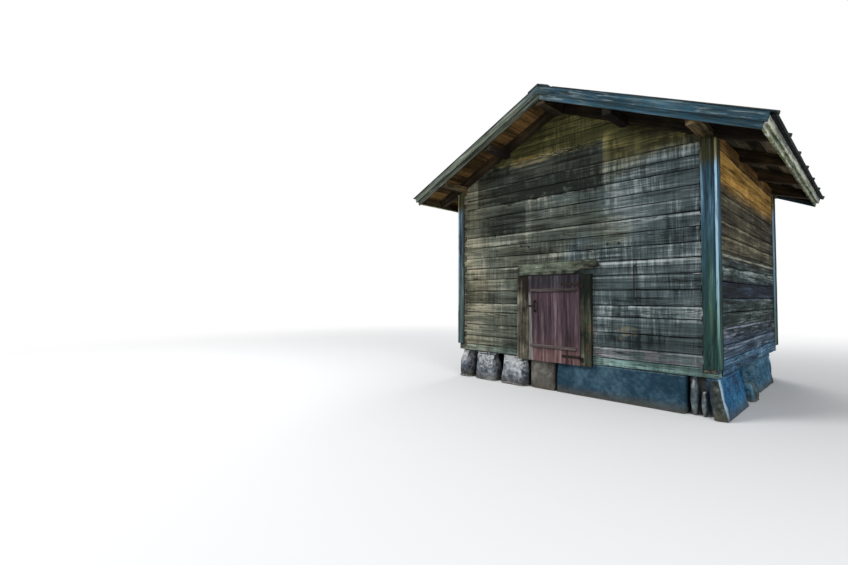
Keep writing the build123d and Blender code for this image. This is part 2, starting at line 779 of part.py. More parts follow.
def right_stones():
    """Recessed cobbles with a low boulder before them, a long slanted block, the back corner stone."""
    inside_x = half_width - STONE_INSIDE
    cobble_x = half_width - COBBLE_RECESS
    made = []
    y = corner_block_back + 2 * STONE_JOINT
    for width in RIGHT_COBBLE_WIDTHS:
        made.append(stone(
            inside_x, cobble_x, y, y + width - 2 * STONE_JOINT, stone_top, BOULDER_PROFILE,
            (0, 2 * STONE_JOINT, STONE_JOINT / 2, STONE_JOINT / 2), BOULDER_CUTS,
        ))
        y += width
    x = cobble_x + 2 * STONE_JOINT + FIT
    near = corner_block_back + LOW_BOULDER_FROM_SLAB
    made.append(stone(
        x, x + LOW_BOULDER_WIDTH, near, near + LOW_BOULDER_LENGTH, LOW_BOULDER_HEIGHT,
        BOULDER_PROFILE, (0, STONE_SPREAD, STONE_SPREAD, STONE_SPREAD), BOULDER_CUTS,
    ))
    near = y + RIGHT_BLOCK_SLANT
    made.append(stone(
        inside_x, half_width + STONE_JOINT, near, near + RIGHT_BLOCK_LENGTH, stone_top,
        SLANTED_PROFILE, (0, STONE_SPREAD, RIGHT_BLOCK_SLANT, 0), SPLIT_CUTS,
    ))
    made.append(stone(
        inside_x, cobble_x, back_y - BACK_CORNER_STONE_LENGTH, back_y + STONE_JOINT, stone_top,
        BLOCK_PROFILE, (0, 0, STONE_JOINT, 0), SPLIT_CUTS,
    ))
    return made


def stone_kind(index):
    """Profile and corner cuts of stone number index of a row: boulders and split blocks by turns."""
    if index % 2:
        return BLOCK_PROFILE, SPLIT_CUTS
    return BOULDER_PROFILE, BOULDER_CUTS


def left_stones():
    """Stones under the left side wall."""
    made = []
    y = front_y + STONE_INSIDE
    for index, width in enumerate(LEFT_STONE_WIDTHS):
        profile, cuts = stone_kind(index)
        made.append(stone(
            -half_width - STONE_PAST_WALL, STONE_INSIDE - half_width,
            y + STONE_JOINT, y + width - STONE_JOINT,
            stone_top, profile, (STONE_SPREAD, 0, STONE_JOINT / 2, STONE_JOINT / 2), cuts,
        ))
        y += width
    return made


def back_stones():
    """Stones under the back gable."""
    made = []
    x = STONE_INSIDE + STONE_SPREAD - half_width
    for index, width in enumerate(BACK_STONE_WIDTHS):
        profile, cuts = stone_kind(index)
        made.append(stone(
            x + STONE_JOINT, x + width - STONE_JOINT, back_y - STONE_INSIDE, back_y + STONE_PAST_WALL,
            stone_top, profile, (0, 0, 0, STONE_SPREAD), cuts,
        ))
        x += width
    return made


os.makedirs("parts", exist_ok=True)

save("foundation_front_boulders", front_boulders())
save("foundation_door_block", [split_block(door_block_left, door_block_right)])
save("foundation_front_block", [split_block(door_block_right + 2 * STONE_JOINT, front_block_right)])
save("foundation_packing_stones", packing_stones())
save("foundation_corner_block", [corner_block()])
save("foundation_right_stones", right_stones())
save("foundation_left_stones", left_stones())
save("foundation_back_stones", back_stones())

course_count = len(WALL_COURSES)
left_logs, right_logs, upper_logs = front_wall_logs()
save("front_sill_log", [gable_wall_log(0, front_y, inner_front_y)])
save("front_wall_left", left_logs)
save("front_wall_right", right_logs)
save("front_wall_upper", upper_logs)
save("front_gable", gable_logs(front_y, inner_front_y))
save("back_wall", [gable_wall_log(i, inner_back_y, back_y) for i in range(course_count)])
save("back_gable", gable_logs(inner_back_y, back_y))
save("left_wall", [side_wall_log(i, -1) for i in range(course_count - 1)])
save("right_wall", [side_wall_log(i, 1) for i in range(course_count - 1)])
save("wall_plate_left", [plate(-1)])
save("wall_plate_right", [plate(1)])

save("ridge_purlin", [ridge_purlin()])
save("side_purlins", [side_purlin(-1), side_purlin(1)])
save("rafters_left", rafters(-1))
save("rafters_right", rafters(1))
save("verge_rafters", verge_rafters())
save("roof_deck_left", deck(-1))
save("roof_deck_right", deck(1))
save("roof_felt_left", felt(-1))
save("roof_felt_right", felt(1))
save("felt_battens", felt_battens())
save("ridge_boards", ridge_boards())
save("barge_boards_front", barge_boards(roof_front_y, 1))
save("barge_boards_back", barge_boards(roof_back_y, -1))
save("fascia_left", fascia(-1))
save("fascia_right", fascia(1))

save("corner_casing_front_left", casing(-1, front_y, -1))
save("corner_casing_front_right", casing(1, front_y, -1))
save("corner_casing_back_left", casing(-1, back_y, 1))
save("corner_casing_back_right", casing(1, back_y, 1))

save("floor_joists", floor_joists())
save("floor_boards", floor_boards())

save("threshold", threshold())
left_jamb_x = LEAF_LEFT_X - LEAF_GAP
right_jamb_x = leaf_right_x + LEAF_GAP
save("door_jamb_left", door_jamb(left_jamb_x - JAMB_WIDTH_LEFT, left_jamb_x))
save("door_jamb_right", door_jamb(right_jamb_x, right_jamb_x + JAMB_WIDTH_RIGHT))
save("door_lintel", door_lintel())
save("door_boards", door_boards())
save("door_ledge_upper", door_ledge(leaf_top - UPPER_LEDGE_DROP))
save("door_ledge_lower", door_ledge(leaf_bottom + LOWER_LEDGE_RISE))
save("strap_hinge_upper", strap_hinge(upper_strap_z))
save("strap_hinge_lower", strap_hinge(lower_strap_z))
save("door_handle", door_handle())
save("door_pintles", pintle(upper_strap_z) + pintle(lower_strap_z))
save("wall_rod", wall_rod())
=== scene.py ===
import bpy
import bmesh
import math
import random
from mathutils import Matrix, Vector, noise


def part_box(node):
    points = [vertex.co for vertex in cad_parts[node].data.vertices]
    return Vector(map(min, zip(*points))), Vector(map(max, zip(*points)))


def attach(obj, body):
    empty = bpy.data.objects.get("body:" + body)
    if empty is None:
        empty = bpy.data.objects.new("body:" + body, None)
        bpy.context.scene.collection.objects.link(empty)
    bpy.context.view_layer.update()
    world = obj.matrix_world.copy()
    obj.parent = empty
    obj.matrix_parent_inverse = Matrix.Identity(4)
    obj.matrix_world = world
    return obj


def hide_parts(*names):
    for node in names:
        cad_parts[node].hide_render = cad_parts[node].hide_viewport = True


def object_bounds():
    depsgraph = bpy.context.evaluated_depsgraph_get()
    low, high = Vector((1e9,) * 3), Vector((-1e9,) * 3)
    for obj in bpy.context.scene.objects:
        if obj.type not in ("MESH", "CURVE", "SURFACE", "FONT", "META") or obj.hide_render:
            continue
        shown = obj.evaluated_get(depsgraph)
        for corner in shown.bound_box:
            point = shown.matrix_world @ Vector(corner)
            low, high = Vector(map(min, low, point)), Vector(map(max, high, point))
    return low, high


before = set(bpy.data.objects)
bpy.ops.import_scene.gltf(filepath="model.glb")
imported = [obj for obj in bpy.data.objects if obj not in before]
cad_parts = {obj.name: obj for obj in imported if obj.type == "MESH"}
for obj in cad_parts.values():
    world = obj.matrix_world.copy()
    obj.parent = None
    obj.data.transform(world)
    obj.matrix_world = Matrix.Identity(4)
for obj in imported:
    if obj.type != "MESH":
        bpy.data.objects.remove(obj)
cad_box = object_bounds()

HOUSE = "storehouse"
DOOR = "door"
LOGS = "weathered_logs"
TRIM = "grey_trim_boards"
ROOF_TIMBER = "brown_roof_timber"
DARK_WOOD = "dark_roof_wood"
RED_BOARDS = "faded_red_boards"
X_AXIS, Y_AXIS, Z_AXIS = Vector((1, 0, 0)), Vector((0, 1, 0)), Vector((0, 0, 1))
FORWARD = -Y_AXIS

# Places that stains and small pieces are measured from
felt_low, felt_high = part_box("roof_felt_right")
PITCH = math.atan2(felt_high.z - felt_low.z, felt_high.x - felt_low.x)
FRONT_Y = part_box("front_sill_log")[0].y
WALL_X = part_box("front_sill_log")[1].x
SILL_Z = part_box("front_sill_log")[0].z
EAVE_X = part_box("fascia_right")[1].x
GROUND = cad_box[0].z
HOUSE_MIDDLE = Vector((0, 0, 1.8))
DOOR_LOW, DOOR_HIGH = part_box("door_boards")
# Height of the torn log under the gable
TORN_Z = 3.735
# Centres and radius of the bored holes of the front wall
HOLES = ((-0.55, 2.27), (-0.7, 2.30), (-1.24, 2.52), (0.74, 2.21), (0.9, 2.21))
HOLE_RADIUS = 0.028

# Values with the dark, middle and light colour of a surface
RAMP_STOPS = (0.15, 0.5, 0.88)
# Shine of dry wood, stone and rust
DULL = 0.15
# Turn of an edge, in radians, from which it is worn
SHARP_EDGE = 0.5
# Waves of wear in a metre
WEAR_ACROSS, WEAR_ALONG = 9.0, 2.6
# Waves in a metre of stone, and their shares of the depth
HOLLOWS, FACETS, GRIT = (2.7, 0.5), (5.0, 0.9), (27.0, 0.14)
# A stone keeps its shape near its head and foot
BED_TOP, BED_FOOT, BED_SHARE = 0.03, 0.01, 0.25
NAIL_SIDES = 7
BARGE_NAIL_GAP, CASING_NAIL_GAP = (0.42, 0.5), (0.4, 0.5)


def srgb(red, green, blue):
    """Scene-linear colour of red, green and blue from 0 to 255."""
    parts = [part / 255 for part in (red, green, blue)]
    return tuple(c / 12.92 if c <= 0.04045 else ((c + 0.055) / 1.055) ** 2.4 for c in parts) + (1.0,)


class Nodes:
    """The nodes of a material or of the surroundings, under construction."""

    def __init__(self, owner):
        owner.use_nodes = True
        self.tree = owner.node_tree
        self.tree.nodes.clear()

    def node(self, kind, settings=None, **inputs):
        """A new node with its settings, and its inputs fed by name."""
        made = self.tree.nodes.new(kind)
        for key, value in (settings or {}).items():
            setattr(made, key, value)
        for key, value in inputs.items():
            self.feed(made.inputs[key], value)
        return made

    def feed(self, socket, value):
        """Links a socket to another one, or gives it a fixed value."""
        if isinstance(value, bpy.types.NodeSocket):
            self.tree.links.new(value, socket)
        else:
            socket.default_value = value

    def math(self, operation, a, b=0.0):
        """One sum on one or two values."""
        made = self.node("ShaderNodeMath", {"operation": operation})
        self.feed(made.inputs[0], a)
        self.feed(made.inputs[1], b)
        return made.outputs[0]

    def span(self, value, low, high, to_low=0.0, to_high=1.0):
        """Smooth step of value from low to high."""
        made = self.node("ShaderNodeMapRange", {"interpolation_type": "SMOOTHSTEP"}, Value=value)
        for name, number in (("From Min", low), ("From Max", high), ("To Min", to_low), ("To Max", to_high)):
            made.inputs[name].default_value = number
        return made.outputs[0]

    def mixed(self, factor, first, second, output):
        """Shows two shaders, mixed by a factor."""
        mixer = self.node("ShaderNodeMixShader")
        for socket, source in zip(mixer.inputs, (factor, first, second)):
            self.feed(socket, source)
        self.feed(self.node(output).inputs[0], mixer.outputs[0])


class Surface(Nodes):
    """A procedural material, with the colour that it has so far as its shade.

    Plain colours are given as red, green and blue from 0 to 255."""

    def __init__(self, name):
        self.material = bpy.data.materials.new(name)
        super().__init__(self.material)
        output = self.node("ShaderNodeOutputMaterial")
        self.shader = self.node("ShaderNodeBsdfPrincipled")
        self.feed(output.inputs["Surface"], self.shader.outputs["BSDF"])
        self.shader.inputs["Specular IOR Level"].default_value = DULL
        self.place = self.node("ShaderNodeTexCoord").outputs["Object"]
        self.x, self.y, self.z = self.node("ShaderNodeSeparateXYZ", Vector=self.place).outputs
        self.grain, self.tone, self.rise = (
            self.node("ShaderNodeAttribute", {"attribute_name": name}).outputs[output]
            for name, output in (("grain", "Vector"), ("tone", "Fac"), ("rise", "Fac")))
        self.shade = None

    def facing(self, axis):
        """How far the surface faces along an axis: from -1 to 1."""
        normal = self.node("ShaderNodeNewGeometry").outputs["Normal"]
        return self.node("ShaderNodeSeparateXYZ", Vector=normal).outputs[axis]

    def square_to(self, axis, low, high):
        """One on faces that look along an axis, either way."""
        return self.span(self.absolute(self.facing(axis)), low, high)

    def scaled(self, vector, scale):
        """A place with each of its axes scaled."""
        return self.node("ShaderNodeMapping", Vector=vector, Scale=scale).outputs[0]

    def noise(self, vector, stretch, detail=4.0, roughness=0.55, distortion=0.0):
        """Noise from 0 to 1, with waves in a metre the same or different along each axis."""
        scale = (stretch,) * 3 if isinstance(stretch, float) else stretch
        made = self.node("ShaderNodeTexNoise", Vector=self.scaled(vector, scale), Scale=1.0, Detail=detail,
                         Roughness=roughness, Distortion=distortion)
        return made.outputs["Fac"]

    def cloud(self, stretch, *settings):
        """Noise in the axes of the house."""
        return self.noise(self.place, stretch, *settings)

    def grained(self, along, across, *settings):
        """Noise drawn out along the grain."""
        return self.noise(self.grain, (along, across, across), *settings)

    def absolute(self, value):
        """Size of a value."""
        return self.math("ABSOLUTE", value)

    def fall(self, value, low, high):
        """Smooth step from one down to zero."""
        return self.span(value, low, high, 1.0, 0.0)

    def window(self, value, low, high, soft):
        """One between low and high, with soft shoulders."""
        up = self.span(value, low - soft, low + soft)
        return self.product(up, self.fall(value, high - soft, high + soft))

    def line(self, value, middle, width):
        """One where value passes middle: turns a noise into thin wandering lines."""
        return self.fall(self.absolute(self.math("SUBTRACT", value, middle)), 0.0, width)

    def near(self, x, z, radius):
        """One within a radius of a point of the wall, seen square on."""
        flat = self.node("ShaderNodeCombineXYZ", X=self.x, Z=self.z).outputs[0]
        gap = self.node("ShaderNodeVectorMath", {"operation": "DISTANCE"})
        self.feed(gap.inputs[0], flat)
        gap.inputs[1].default_value = (x, 0.0, z)
        return self.fall(gap.outputs["Value"], radius * 0.5, radius)

    def mix(self, factor, a, b):
        """Colour from a to b by a factor."""
        made = self.node("ShaderNodeMix", {"data_type": "RGBA"})
        for place, value in ((0, factor), (6, a), (7, b)):
            self.feed(made.inputs[place], srgb(*value) if isinstance(value, tuple) else value)
        return made.outputs[2]

    def paint(self, colour, *masks):
        """Lays a colour over the shade where the masks are."""
        self.shade = self.mix(self.product(*masks), self.shade, colour)

    def ramp(self, value, *shades):
        """Colour of a value that swings about 0.5: dark, middle and light."""
        made = self.node("ShaderNodeValToRGB", Fac=value)
        made.color_ramp.elements.new(0.5)
        for element, position, shade in zip(made.color_ramp.elements, RAMP_STOPS, shades):
            element.position = position
            element.color = srgb(*shade)
        return made.outputs["Color"]

    def product(self, *values):
        """All the values multiplied."""
        total = values[0]
        for value in values[1:]:
            total = self.math("MULTIPLY", total, value)
        return total

    def shifted(self, value, other, amount):
        """A value moved by a share of another one."""
        return self.math("ADD", value, self.math("MULTIPLY", other, amount))

    def total(self, *pairs):
        """Weighted sum of (value, weight) pairs."""
        result = None
        for value, weight in pairs:
            part = self.math("MULTIPLY", value, weight)
            result = part if result is None else self.math("ADD", result, part)
        return result

    def swing(self, *pairs):
        """Weighted sum of (value, weight) pairs. They and it swing about 0.5."""
        return self.math("ADD", self.total(*pairs), 0.5 - 0.5 * sum(weight for value, weight in pairs))

    def done(self, rough, height, distance):
        """The material, with its roughness and its relief of a height in metres."""
        self.feed(self.shader.inputs["Base Color"], self.shade)
        self.feed(self.shader.inputs["Roughness"], rough)
        bump = self.node("ShaderNodeBump", Height=height, Distance=distance)
        self.feed(self.shader.inputs["Normal"], bump.outputs["Normal"])
        return self.material


class Wood(Surface):
    """Old timber: fibres, growth bands, cracks and knots along the grain, and each piece's own tone.

    Its value, which swings about 0.5, is how light the wood is."""

    def __init__(self, name, bands, tone, crack_width=0.016, crack_count=22.0):
        super().__init__(name)
        self.fibre = self.grained(5.0, 190.0, 3.0)
        self.bands = self.grained(0.9, 21.0, 6.0, 0.6, 0.5)
        self.value = self.swing((self.bands, bands), (self.fibre, 0.5), (self.tone, tone))
        wander = self.grained(0.8, crack_count, 7.0, 0.62, 0.3)
        where = self.span(self.grained(1.1, 7.0, 2.0), 0.44, 0.6)
        self.cracks = self.product(self.line(wander, 0.5, crack_width), where)
        knots = self.node("ShaderNodeTexVoronoi", Vector=self.scaled(self.grain, (1.3, 5.0, 5.0)), Scale=1.0)
        self.knots = self.fall(knots.outputs["Distance"], 0.03, 0.07)

    def lighten(self, amount, *masks):
        """Raises the value where the masks are. An amount below zero lowers it."""
        self.value = self.math("ADD", self.value, self.product(*masks, amount))

    def stir(self, share, other, weight):
        """Keeps a share of the value's swing and adds that of another value."""
        self.value = self.swing((self.value, share), (other, weight))

    def tones(self, dark, middle, light):
        """Colour of the wood's value."""
        return self.ramp(self.value, dark, middle, light)

    def coat(self, dark, middle, light, *masks):
        """Lays the wood in other tones over the shade."""
        self.paint(self.tones(dark, middle, light), *masks)

    def finish(self, distance, crack_depth=1.0, top=None):
        """The material, with dark knots and cracks over its shade."""
        self.paint((36, 31, 24), self.knots, 0.6)
        self.paint((17, 16, 13), self.cracks, 0.85)
        rough = self.span(self.value, 0.1, 0.9, 0.95, 0.78)
        pairs = [(self.fibre, 0.25), (self.bands, 0.5), (self.cracks, -crack_depth), (self.knots, 0.1)]
        if top is not None:
            pairs.append((top, 0.5))
        return self.done(rough, self.total(*pairs), distance)


def streaked(s, x, amount, where=1.0):
    """Rain streaks down a log wall. Some run over all the logs and some differ from log to log."""
    flat = s.node("ShaderNodeCombineXYZ", X=x, Z=s.z).outputs[0]
    narrow = s.noise(flat, (24.0, 1.0, 0.9), 4.0, 0.6)
    broad = s.noise(flat, (3.4, 1.0, 0.5), 3.0)
    own = s.grained(15.0, 0.7, 3.0, 0.6)
    fine = s.grained(62.0, 5.0, 3.0)
    strength = s.span(s.cloud((1.1, 1.1, 2.0), 3.0), 0.38, 0.62, 0.3 * amount, 1.2 * amount)
    swing = s.swing((narrow, 0.7), (broad, 0.7), (own, 1.0), (fine, 0.8))
    s.lighten(s.math("SUBTRACT", swing, 0.5), strength, where)


def joints(s):
    """Painted shade and dirt along the gaps between the logs, closed in places, and a long check along the
    middle of most logs.
    """
    # Painted shade with dirt: dark along the upper and lower edge of each log, where the gaps between the
    # logs lie in shade
    gap = s.math("ADD", s.fall(s.rise, 0.0, 0.045), s.span(s.rise, 0.965, 1.0))
    gap = s.product(gap, s.span(s.grained(1.7, 0.4), 0.36, 0.6, 0.3, 1.0))
    wander = s.shifted(s.rise, s.grained(2.2, 0.5, 5.0), 0.3)
    check = s.product(s.line(wander, 0.66, 0.024), s.span(s.grained(1.3, 0.4, 3.0), 0.4, 0.55))
    s.paint((24, 23, 18), s.math("MAXIMUM", gap, s.product(check, 0.8)), 0.75)


def gable_wood(name, plain=False):
    """Logs of a gable wall. The door gable has stains of its own, a plain one the general ones."""
    s = Wood(name, bands=0.9, tone=0.16)
    streaked(s, s.x, 0.62, 1.0 if plain else s.span(s.x, -0.8, 0.2, 0.6, 1.0))
    ragged = s.cloud((6.0, 6.0, 8.0))
    s.lighten(0.8, s.cloud((0.9, 0.9, 1.6), 3.0))
    s.lighten(s.span(s.tone, 0.3, 0.9, 0.0, 0.2), s.window(s.rise, 0.8, 0.93, 0.04))
    height = s.shifted(s.z, ragged, 0.2)
    under_roof = s.span(height, 3.7, 3.86)
    if not plain:
        right_end = s.product(s.span(s.x, 0.64, 0.74), s.span(height, 3.35, 3.6))
        under_roof = s.math("MAXIMUM", under_roof, right_end)
    s.lighten(0.03, under_roof)
    s.lighten(-0.46)
    if not plain:
        edge = s.math("MULTIPLY", s.math("SUBTRACT", ragged, 0.5), 0.5)
        x = s.math("ADD", s.x, edge)
        z = s.math("ADD", s.z, edge)
        # Stains: straight or ragged sides, left, right, softness, foot, head, softness, lightness
        for across, left, right, side_soft, foot, head, soft, amount in (
            (s.x, -1.62, 0.68, 0.02, 3.07, 3.7, 0.04, -0.22),
            (s.x, -1.3, 0.3, 0.1, 3.07, 3.38, 0.05, -0.1),
            (s.x, -0.61, -0.5, 0.02, 2.3, 3.05, 0.1, 0.14),
            (x, -1.6, -0.62, 0.06, 2.55, 3.03, 0.06, -0.1),
            (x, -1.4, 0.6, 0.2, 2.45, 2.9, 0.12, -0.08),
            (s.x, 0.7, 0.78, 0.03, 2.85, 3.75, 0.1, 0.16),
            (s.x, 1.12, 1.2, 0.03, 2.8, 3.7, 0.2, 0.12),
            (x, 0.72, 1.25, 0.06, 2.05, 3.0, 0.15, 0.13),
            (s.x, -1.92, -1.64, 0.03, 1.9, 3.45, 0.25, 0.05),
            (x, -1.5, -0.5, 0.15, 3.66, 3.8, 0.03, 0.14),
        ):
            s.lighten(amount, s.window(across, left, right, side_soft), s.window(z, foot, head, soft))
        s.lighten(0.12, s.window(s.z, 0.6, 0.78, 0.015), s.span(s.x, 0.4, 0.6))
        s.lighten(-0.12, s.span(s.x, 0.7, 1.0), s.fall(z, 1.7, 2.1))
        s.lighten(0.14, s.window(z, 1.2, 1.32, 0.02), s.span(s.x, 0.5, 0.7))
        s.lighten(0.16, s.window(s.z, 1.87, 2.0, 0.012), s.span(s.x, 0.45, 0.6))
    cloud = s.cloud((1.1, 1.1, 1.4), 3.0)
    s.shade = s.tones((22, 26, 22), (74, 80, 72), (156, 156, 142))
    cool_side = s.span(s.total((s.x, 0.22), (s.z, -0.1), (cloud, 1.0)), 0.26, 0.52)
    s.coat((18, 26, 28), (64, 76, 80), (144, 153, 156), cool_side, 0.85)
    warm_side = s.span(s.total((s.x, -0.25), (cloud, -0.8)), -0.26, 0.12)
    s.coat((32, 28, 19), (84, 82, 66), (164, 156, 130), warm_side, 0.75)
    s.coat((17, 17, 6), (53, 52, 26), (120, 113, 68), under_roof)
    if not plain:
        pinkish = s.product(s.window(s.z, 0.6, 0.75, 0.01), s.span(s.x, 0.4, 0.6), s.span(ragged, 0.4, 0.6))
        s.paint((112, 100, 104), pinkish, 0.35)
        s.paint((122, 112, 86), s.window(s.x, 0.86, 1.12, 0.05), s.window(z, 0.93, 1.0, 0.03), 0.35)
        torn = s.shifted(s.z, s.cloud((9.0, 9.0, 2.0)), 0.09)
        bare = s.window(torn, TORN_Z - 0.055, TORN_Z + 0.01, 0.008)
        bare = s.product(s.window(s.x, -0.86, -0.2, 0.07), bare)
        split = s.product(s.window(s.x, -0.3, 0.6, 0.03), s.line(torn, TORN_Z, 0.012))
        s.paint((118, 112, 84), s.math("MAXIMUM", bare, split), s.span(s.fibre, 0.3, 0.6, 0.35, 0.85))
        s.paint((112, 74, 28), s.window(s.x, -0.8, -0.42, 0.06), s.line(torn, TORN_Z + 0.055, 0.02), 0.9)
        s.paint((26, 25, 20), s.line(s.shifted(s.z, ragged, 0.02), 1.875, 0.011), 0.7)
        # Painted shade: dark discs for the shaded insides of the bored holes
        for hole_x, hole_z in HOLES:
            s.paint((20, 18, 14), s.near(hole_x, hole_z, HOLE_RADIUS), 0.9)
    moss = s.product(s.fall(s.z, SILL_Z + 0.1, SILL_Z + 0.125), s.span(ragged, 0.25, 0.6, 0.45, 0.95))
    if not plain:
        moss = s.product(moss, s.span(s.x, -0.7, 0.3, 0.3, 1.0))
    s.coat((64, 90, 84), (124, 154, 148), (172, 196, 188), moss)
    joints(s)
    return s.finish(0.006)


def side_wall_wood(name, plain=False):
    """Side walls: warm dry wood under the eave and brown below it. The right one is grey with bands of
    painted blue sky reflection, torn and cracked at the foot, a plain one grey."""
    s = Wood(name, bands=1.3, tone=0.16, crack_width=0.026, crack_count=34.0)
    streaked(s, s.y, 0.4)
    ragged = s.cloud((3.0, 1.2, 8.0), 5.0)
    z = s.shifted(s.z, ragged, 0.2)
    s.lighten(s.span(s.tone, 0.0, 1.0, 0.0, 0.2), s.window(s.rise, 0.78, 0.92, 0.05))
    s.lighten(0.7, s.cloud((1.2, 0.8, 1.6), 3.0))
    s.lighten(-0.4)
    weathered = s.math("SUBTRACT", s.grained(1.4, 34.0, 6.0, 0.68), 0.5)
    s.lighten(weathered, s.span(s.z, 1.9, 2.2, 1.0, 0.2))
    if not plain:
        s.lighten(0.5, s.window(s.shifted(s.z, ragged, 0.03), 1.992, 2.022, 0.006))
        s.lighten(-0.16, s.window(s.z, 1.48, 1.68, 0.04))
        s.lighten(0.22, s.window(s.z, 1.76, 1.88, 0.03), s.span(s.grained(2.0, 20.0), 0.45, 0.6))
    s.lighten(-0.08, s.window(s.z, 2.15, 2.8, 0.15))
    s.lighten(0.1, s.span(z, 2.84, 3.1))
    # Painted light: lighter still at the very top, where it offsets the shade under the eave
    s.lighten(0.2, s.span(s.z, 3.1, 3.26))
    grey = s.tones((30, 30, 24), (78, 78, 68), (140, 138, 122))
    s.shade = s.tones((11, 17, 17), (49, 63, 62), (142, 156, 152))
    if plain:
        s.paint(grey, 0.5)
    else:
        # Painted sky reflection: the navy, blue and sill bands below carry the sky's blue on the wall
        s.coat((10, 18, 28), (44, 58, 78), (128, 146, 170), s.window(z, 1.54, 1.78, 0.06))
        s.coat((18, 32, 44), (62, 80, 98), (148, 166, 184), s.fall(z, 0.98, 1.2))
        torn = s.product(s.span(s.grained(2.6, 24.0, 5.0, 0.65), 0.5, 0.62), s.window(s.z, 0.92, 1.06, 0.03))
        s.paint((138, 142, 156), torn, 0.6)
        lip = s.product(s.line(s.shifted(s.z, ragged, 0.05), 1.085, 0.028), s.span(s.y, 0.2, 1.0, 1.0, 0.2))
        s.paint((168, 182, 200), lip, 0.8)
        sill = s.fall(s.z, SILL_Z + 0.2, SILL_Z + 0.215)
        s.coat((24, 48, 68), (66, 105, 134), (142, 176, 198), sill)
    brown_from = (1.6, 2.6) if plain else (1.95, 2.2)
    s.coat((20, 18, 11), (70, 66, 50), (148, 142, 118), s.span(z, *brown_from))
    dry = s.product(s.span(z, 2.86, 3.12), 0.75 if plain else 1.0)
    s.coat((70, 48, 15), (154, 116, 50), (224, 180, 102), dry)
    s.paint(grey, s.square_to("Y", 0.6, 0.8))
    joints(s)
    cleft = s.line(s.grained(0.55, 13.0, 6.0, 0.6, 0.4), 0.5, 0.022)
    s.paint((12, 13, 13), cleft, s.span(s.z, 1.7, 2.0, 1.0, 0.25), 0.85)
    return s.finish(0.008)


def casing_wood():
    """Corner boards: grey with painted blue sky light, mossy towards the foot, brown under the eave, with a
    painted highlight along the arris.
    """
    s = Wood("casing_wood", bands=1.2, tone=0.1, crack_width=0.02, crack_count=14.0)
    soft = s.cloud((16.0, 16.0, 1.1))
    s.stir(0.8, soft, 0.8)
    wide = s.math("SUBTRACT", s.absolute(s.x), WALL_X)
    along = s.math("SUBTRACT", s.absolute(s.y), abs(FRONT_Y))
    front = s.square_to("Y", 0.5, 0.7)
    outer = s.square_to("X", 0.5, 0.7)
    # Painted highlight along the outer arris of the front face
    arris = s.product(front, s.span(wide, 0.0, 0.006))
    s.lighten(-0.1)
    s.lighten(-0.12, front, s.window(wide, -0.04, -0.002, 0.008))
    s.lighten(0.55, arris, s.span(s.z, 0.6, 1.8, 0.3, 1.0))
    s.lighten(0.06, front, s.window(wide, -0.16, -0.11, 0.015))
    # Painted light and shade: side faces of the front casings lighter, of the back ones darker, and a band of
    # painted shade just behind the wall face
    s.lighten(s.span(s.y, -1.0, 1.0, 0.08, -0.12), outer)
    s.lighten(-0.16, outer, s.window(along, -0.145, -0.08, 0.02))
    # Base tones: grey wood with the blue of sky light in shade painted in
    s.shade = s.tones((16, 30, 38), (47, 74, 89), (148, 182, 204))
    low = s.fall(s.shifted(s.z, soft, 0.8), 1.2, 3.2)
    s.coat((10, 25, 20), (36, 65, 56), (100, 130, 104), low, 0.85)
    # Painted sunlight: the left casings greyer and lighter
    s.coat((28, 34, 36), (80, 90, 94), (164, 174, 180), s.span(s.x, -0.1, 0.1, 0.6, 0.0))
    lichen = s.product(s.window(wide, -0.075, -0.045, 0.012), front, s.window(s.z, 0.9, 2.1, 0.4))
    s.paint((70, 88, 42), lichen, s.span(soft, 0.4, 0.6, 0.15, 0.45))
    # Painted highlight: pale blue along the arris
    s.paint((112, 146, 176), arris, s.span(s.z, 1.0, 1.8), 0.35)
    under_eave = s.span(s.shifted(s.z, soft, 0.3), 3.12, 3.32)
    s.coat((22, 22, 12), (58, 58, 38), (120, 116, 82), under_eave)
    return s.finish(0.004)


def barge_wood():
    """Barge boards: grey-green with pale worn lines and moss; the right slope bluer with painted sky light.
    """
    s = Wood("barge_wood", bands=1.3, tone=0.1, crack_width=0.022, crack_count=16.0)
    run = s.grained(0.7, 9.0, 5.0, 0.6)
    s.stir(0.8, run, 1.0)
    s.lighten(0.1, s.fall(s.rise, 0.0, 0.2))
    s.lighten(-0.16)
    s.lighten(-0.06, s.fall(s.x, -0.1, 0.1))
    green = s.tones((28, 32, 26), (80, 87, 76), (156, 160, 142))
    s.shade = green
    # Painted blue sky light over the right slope
    s.coat((15, 30, 38), (42, 73, 88), (112, 142, 156), s.span(s.shifted(s.x, run, 1.0), 0.1, 0.9))
    moss = s.span(s.cloud((4.0, 4.0, 9.0), 6.0, 0.65), 0.44, 0.6)
    s.paint(green, moss, s.span(s.x, -0.1, 0.1, 0.4, 0.25))
    s.paint((136, 148, 150), s.line(run, 0.56, 0.03), s.span(s.grained(3.0, 14.0), 0.45, 0.6), 0.45)
    s.coat((30, 24, 14), (78, 66, 46), (140, 124, 96), s.square_to("Z", 0.4, 0.8), 0.8)
    return s.finish(0.004)


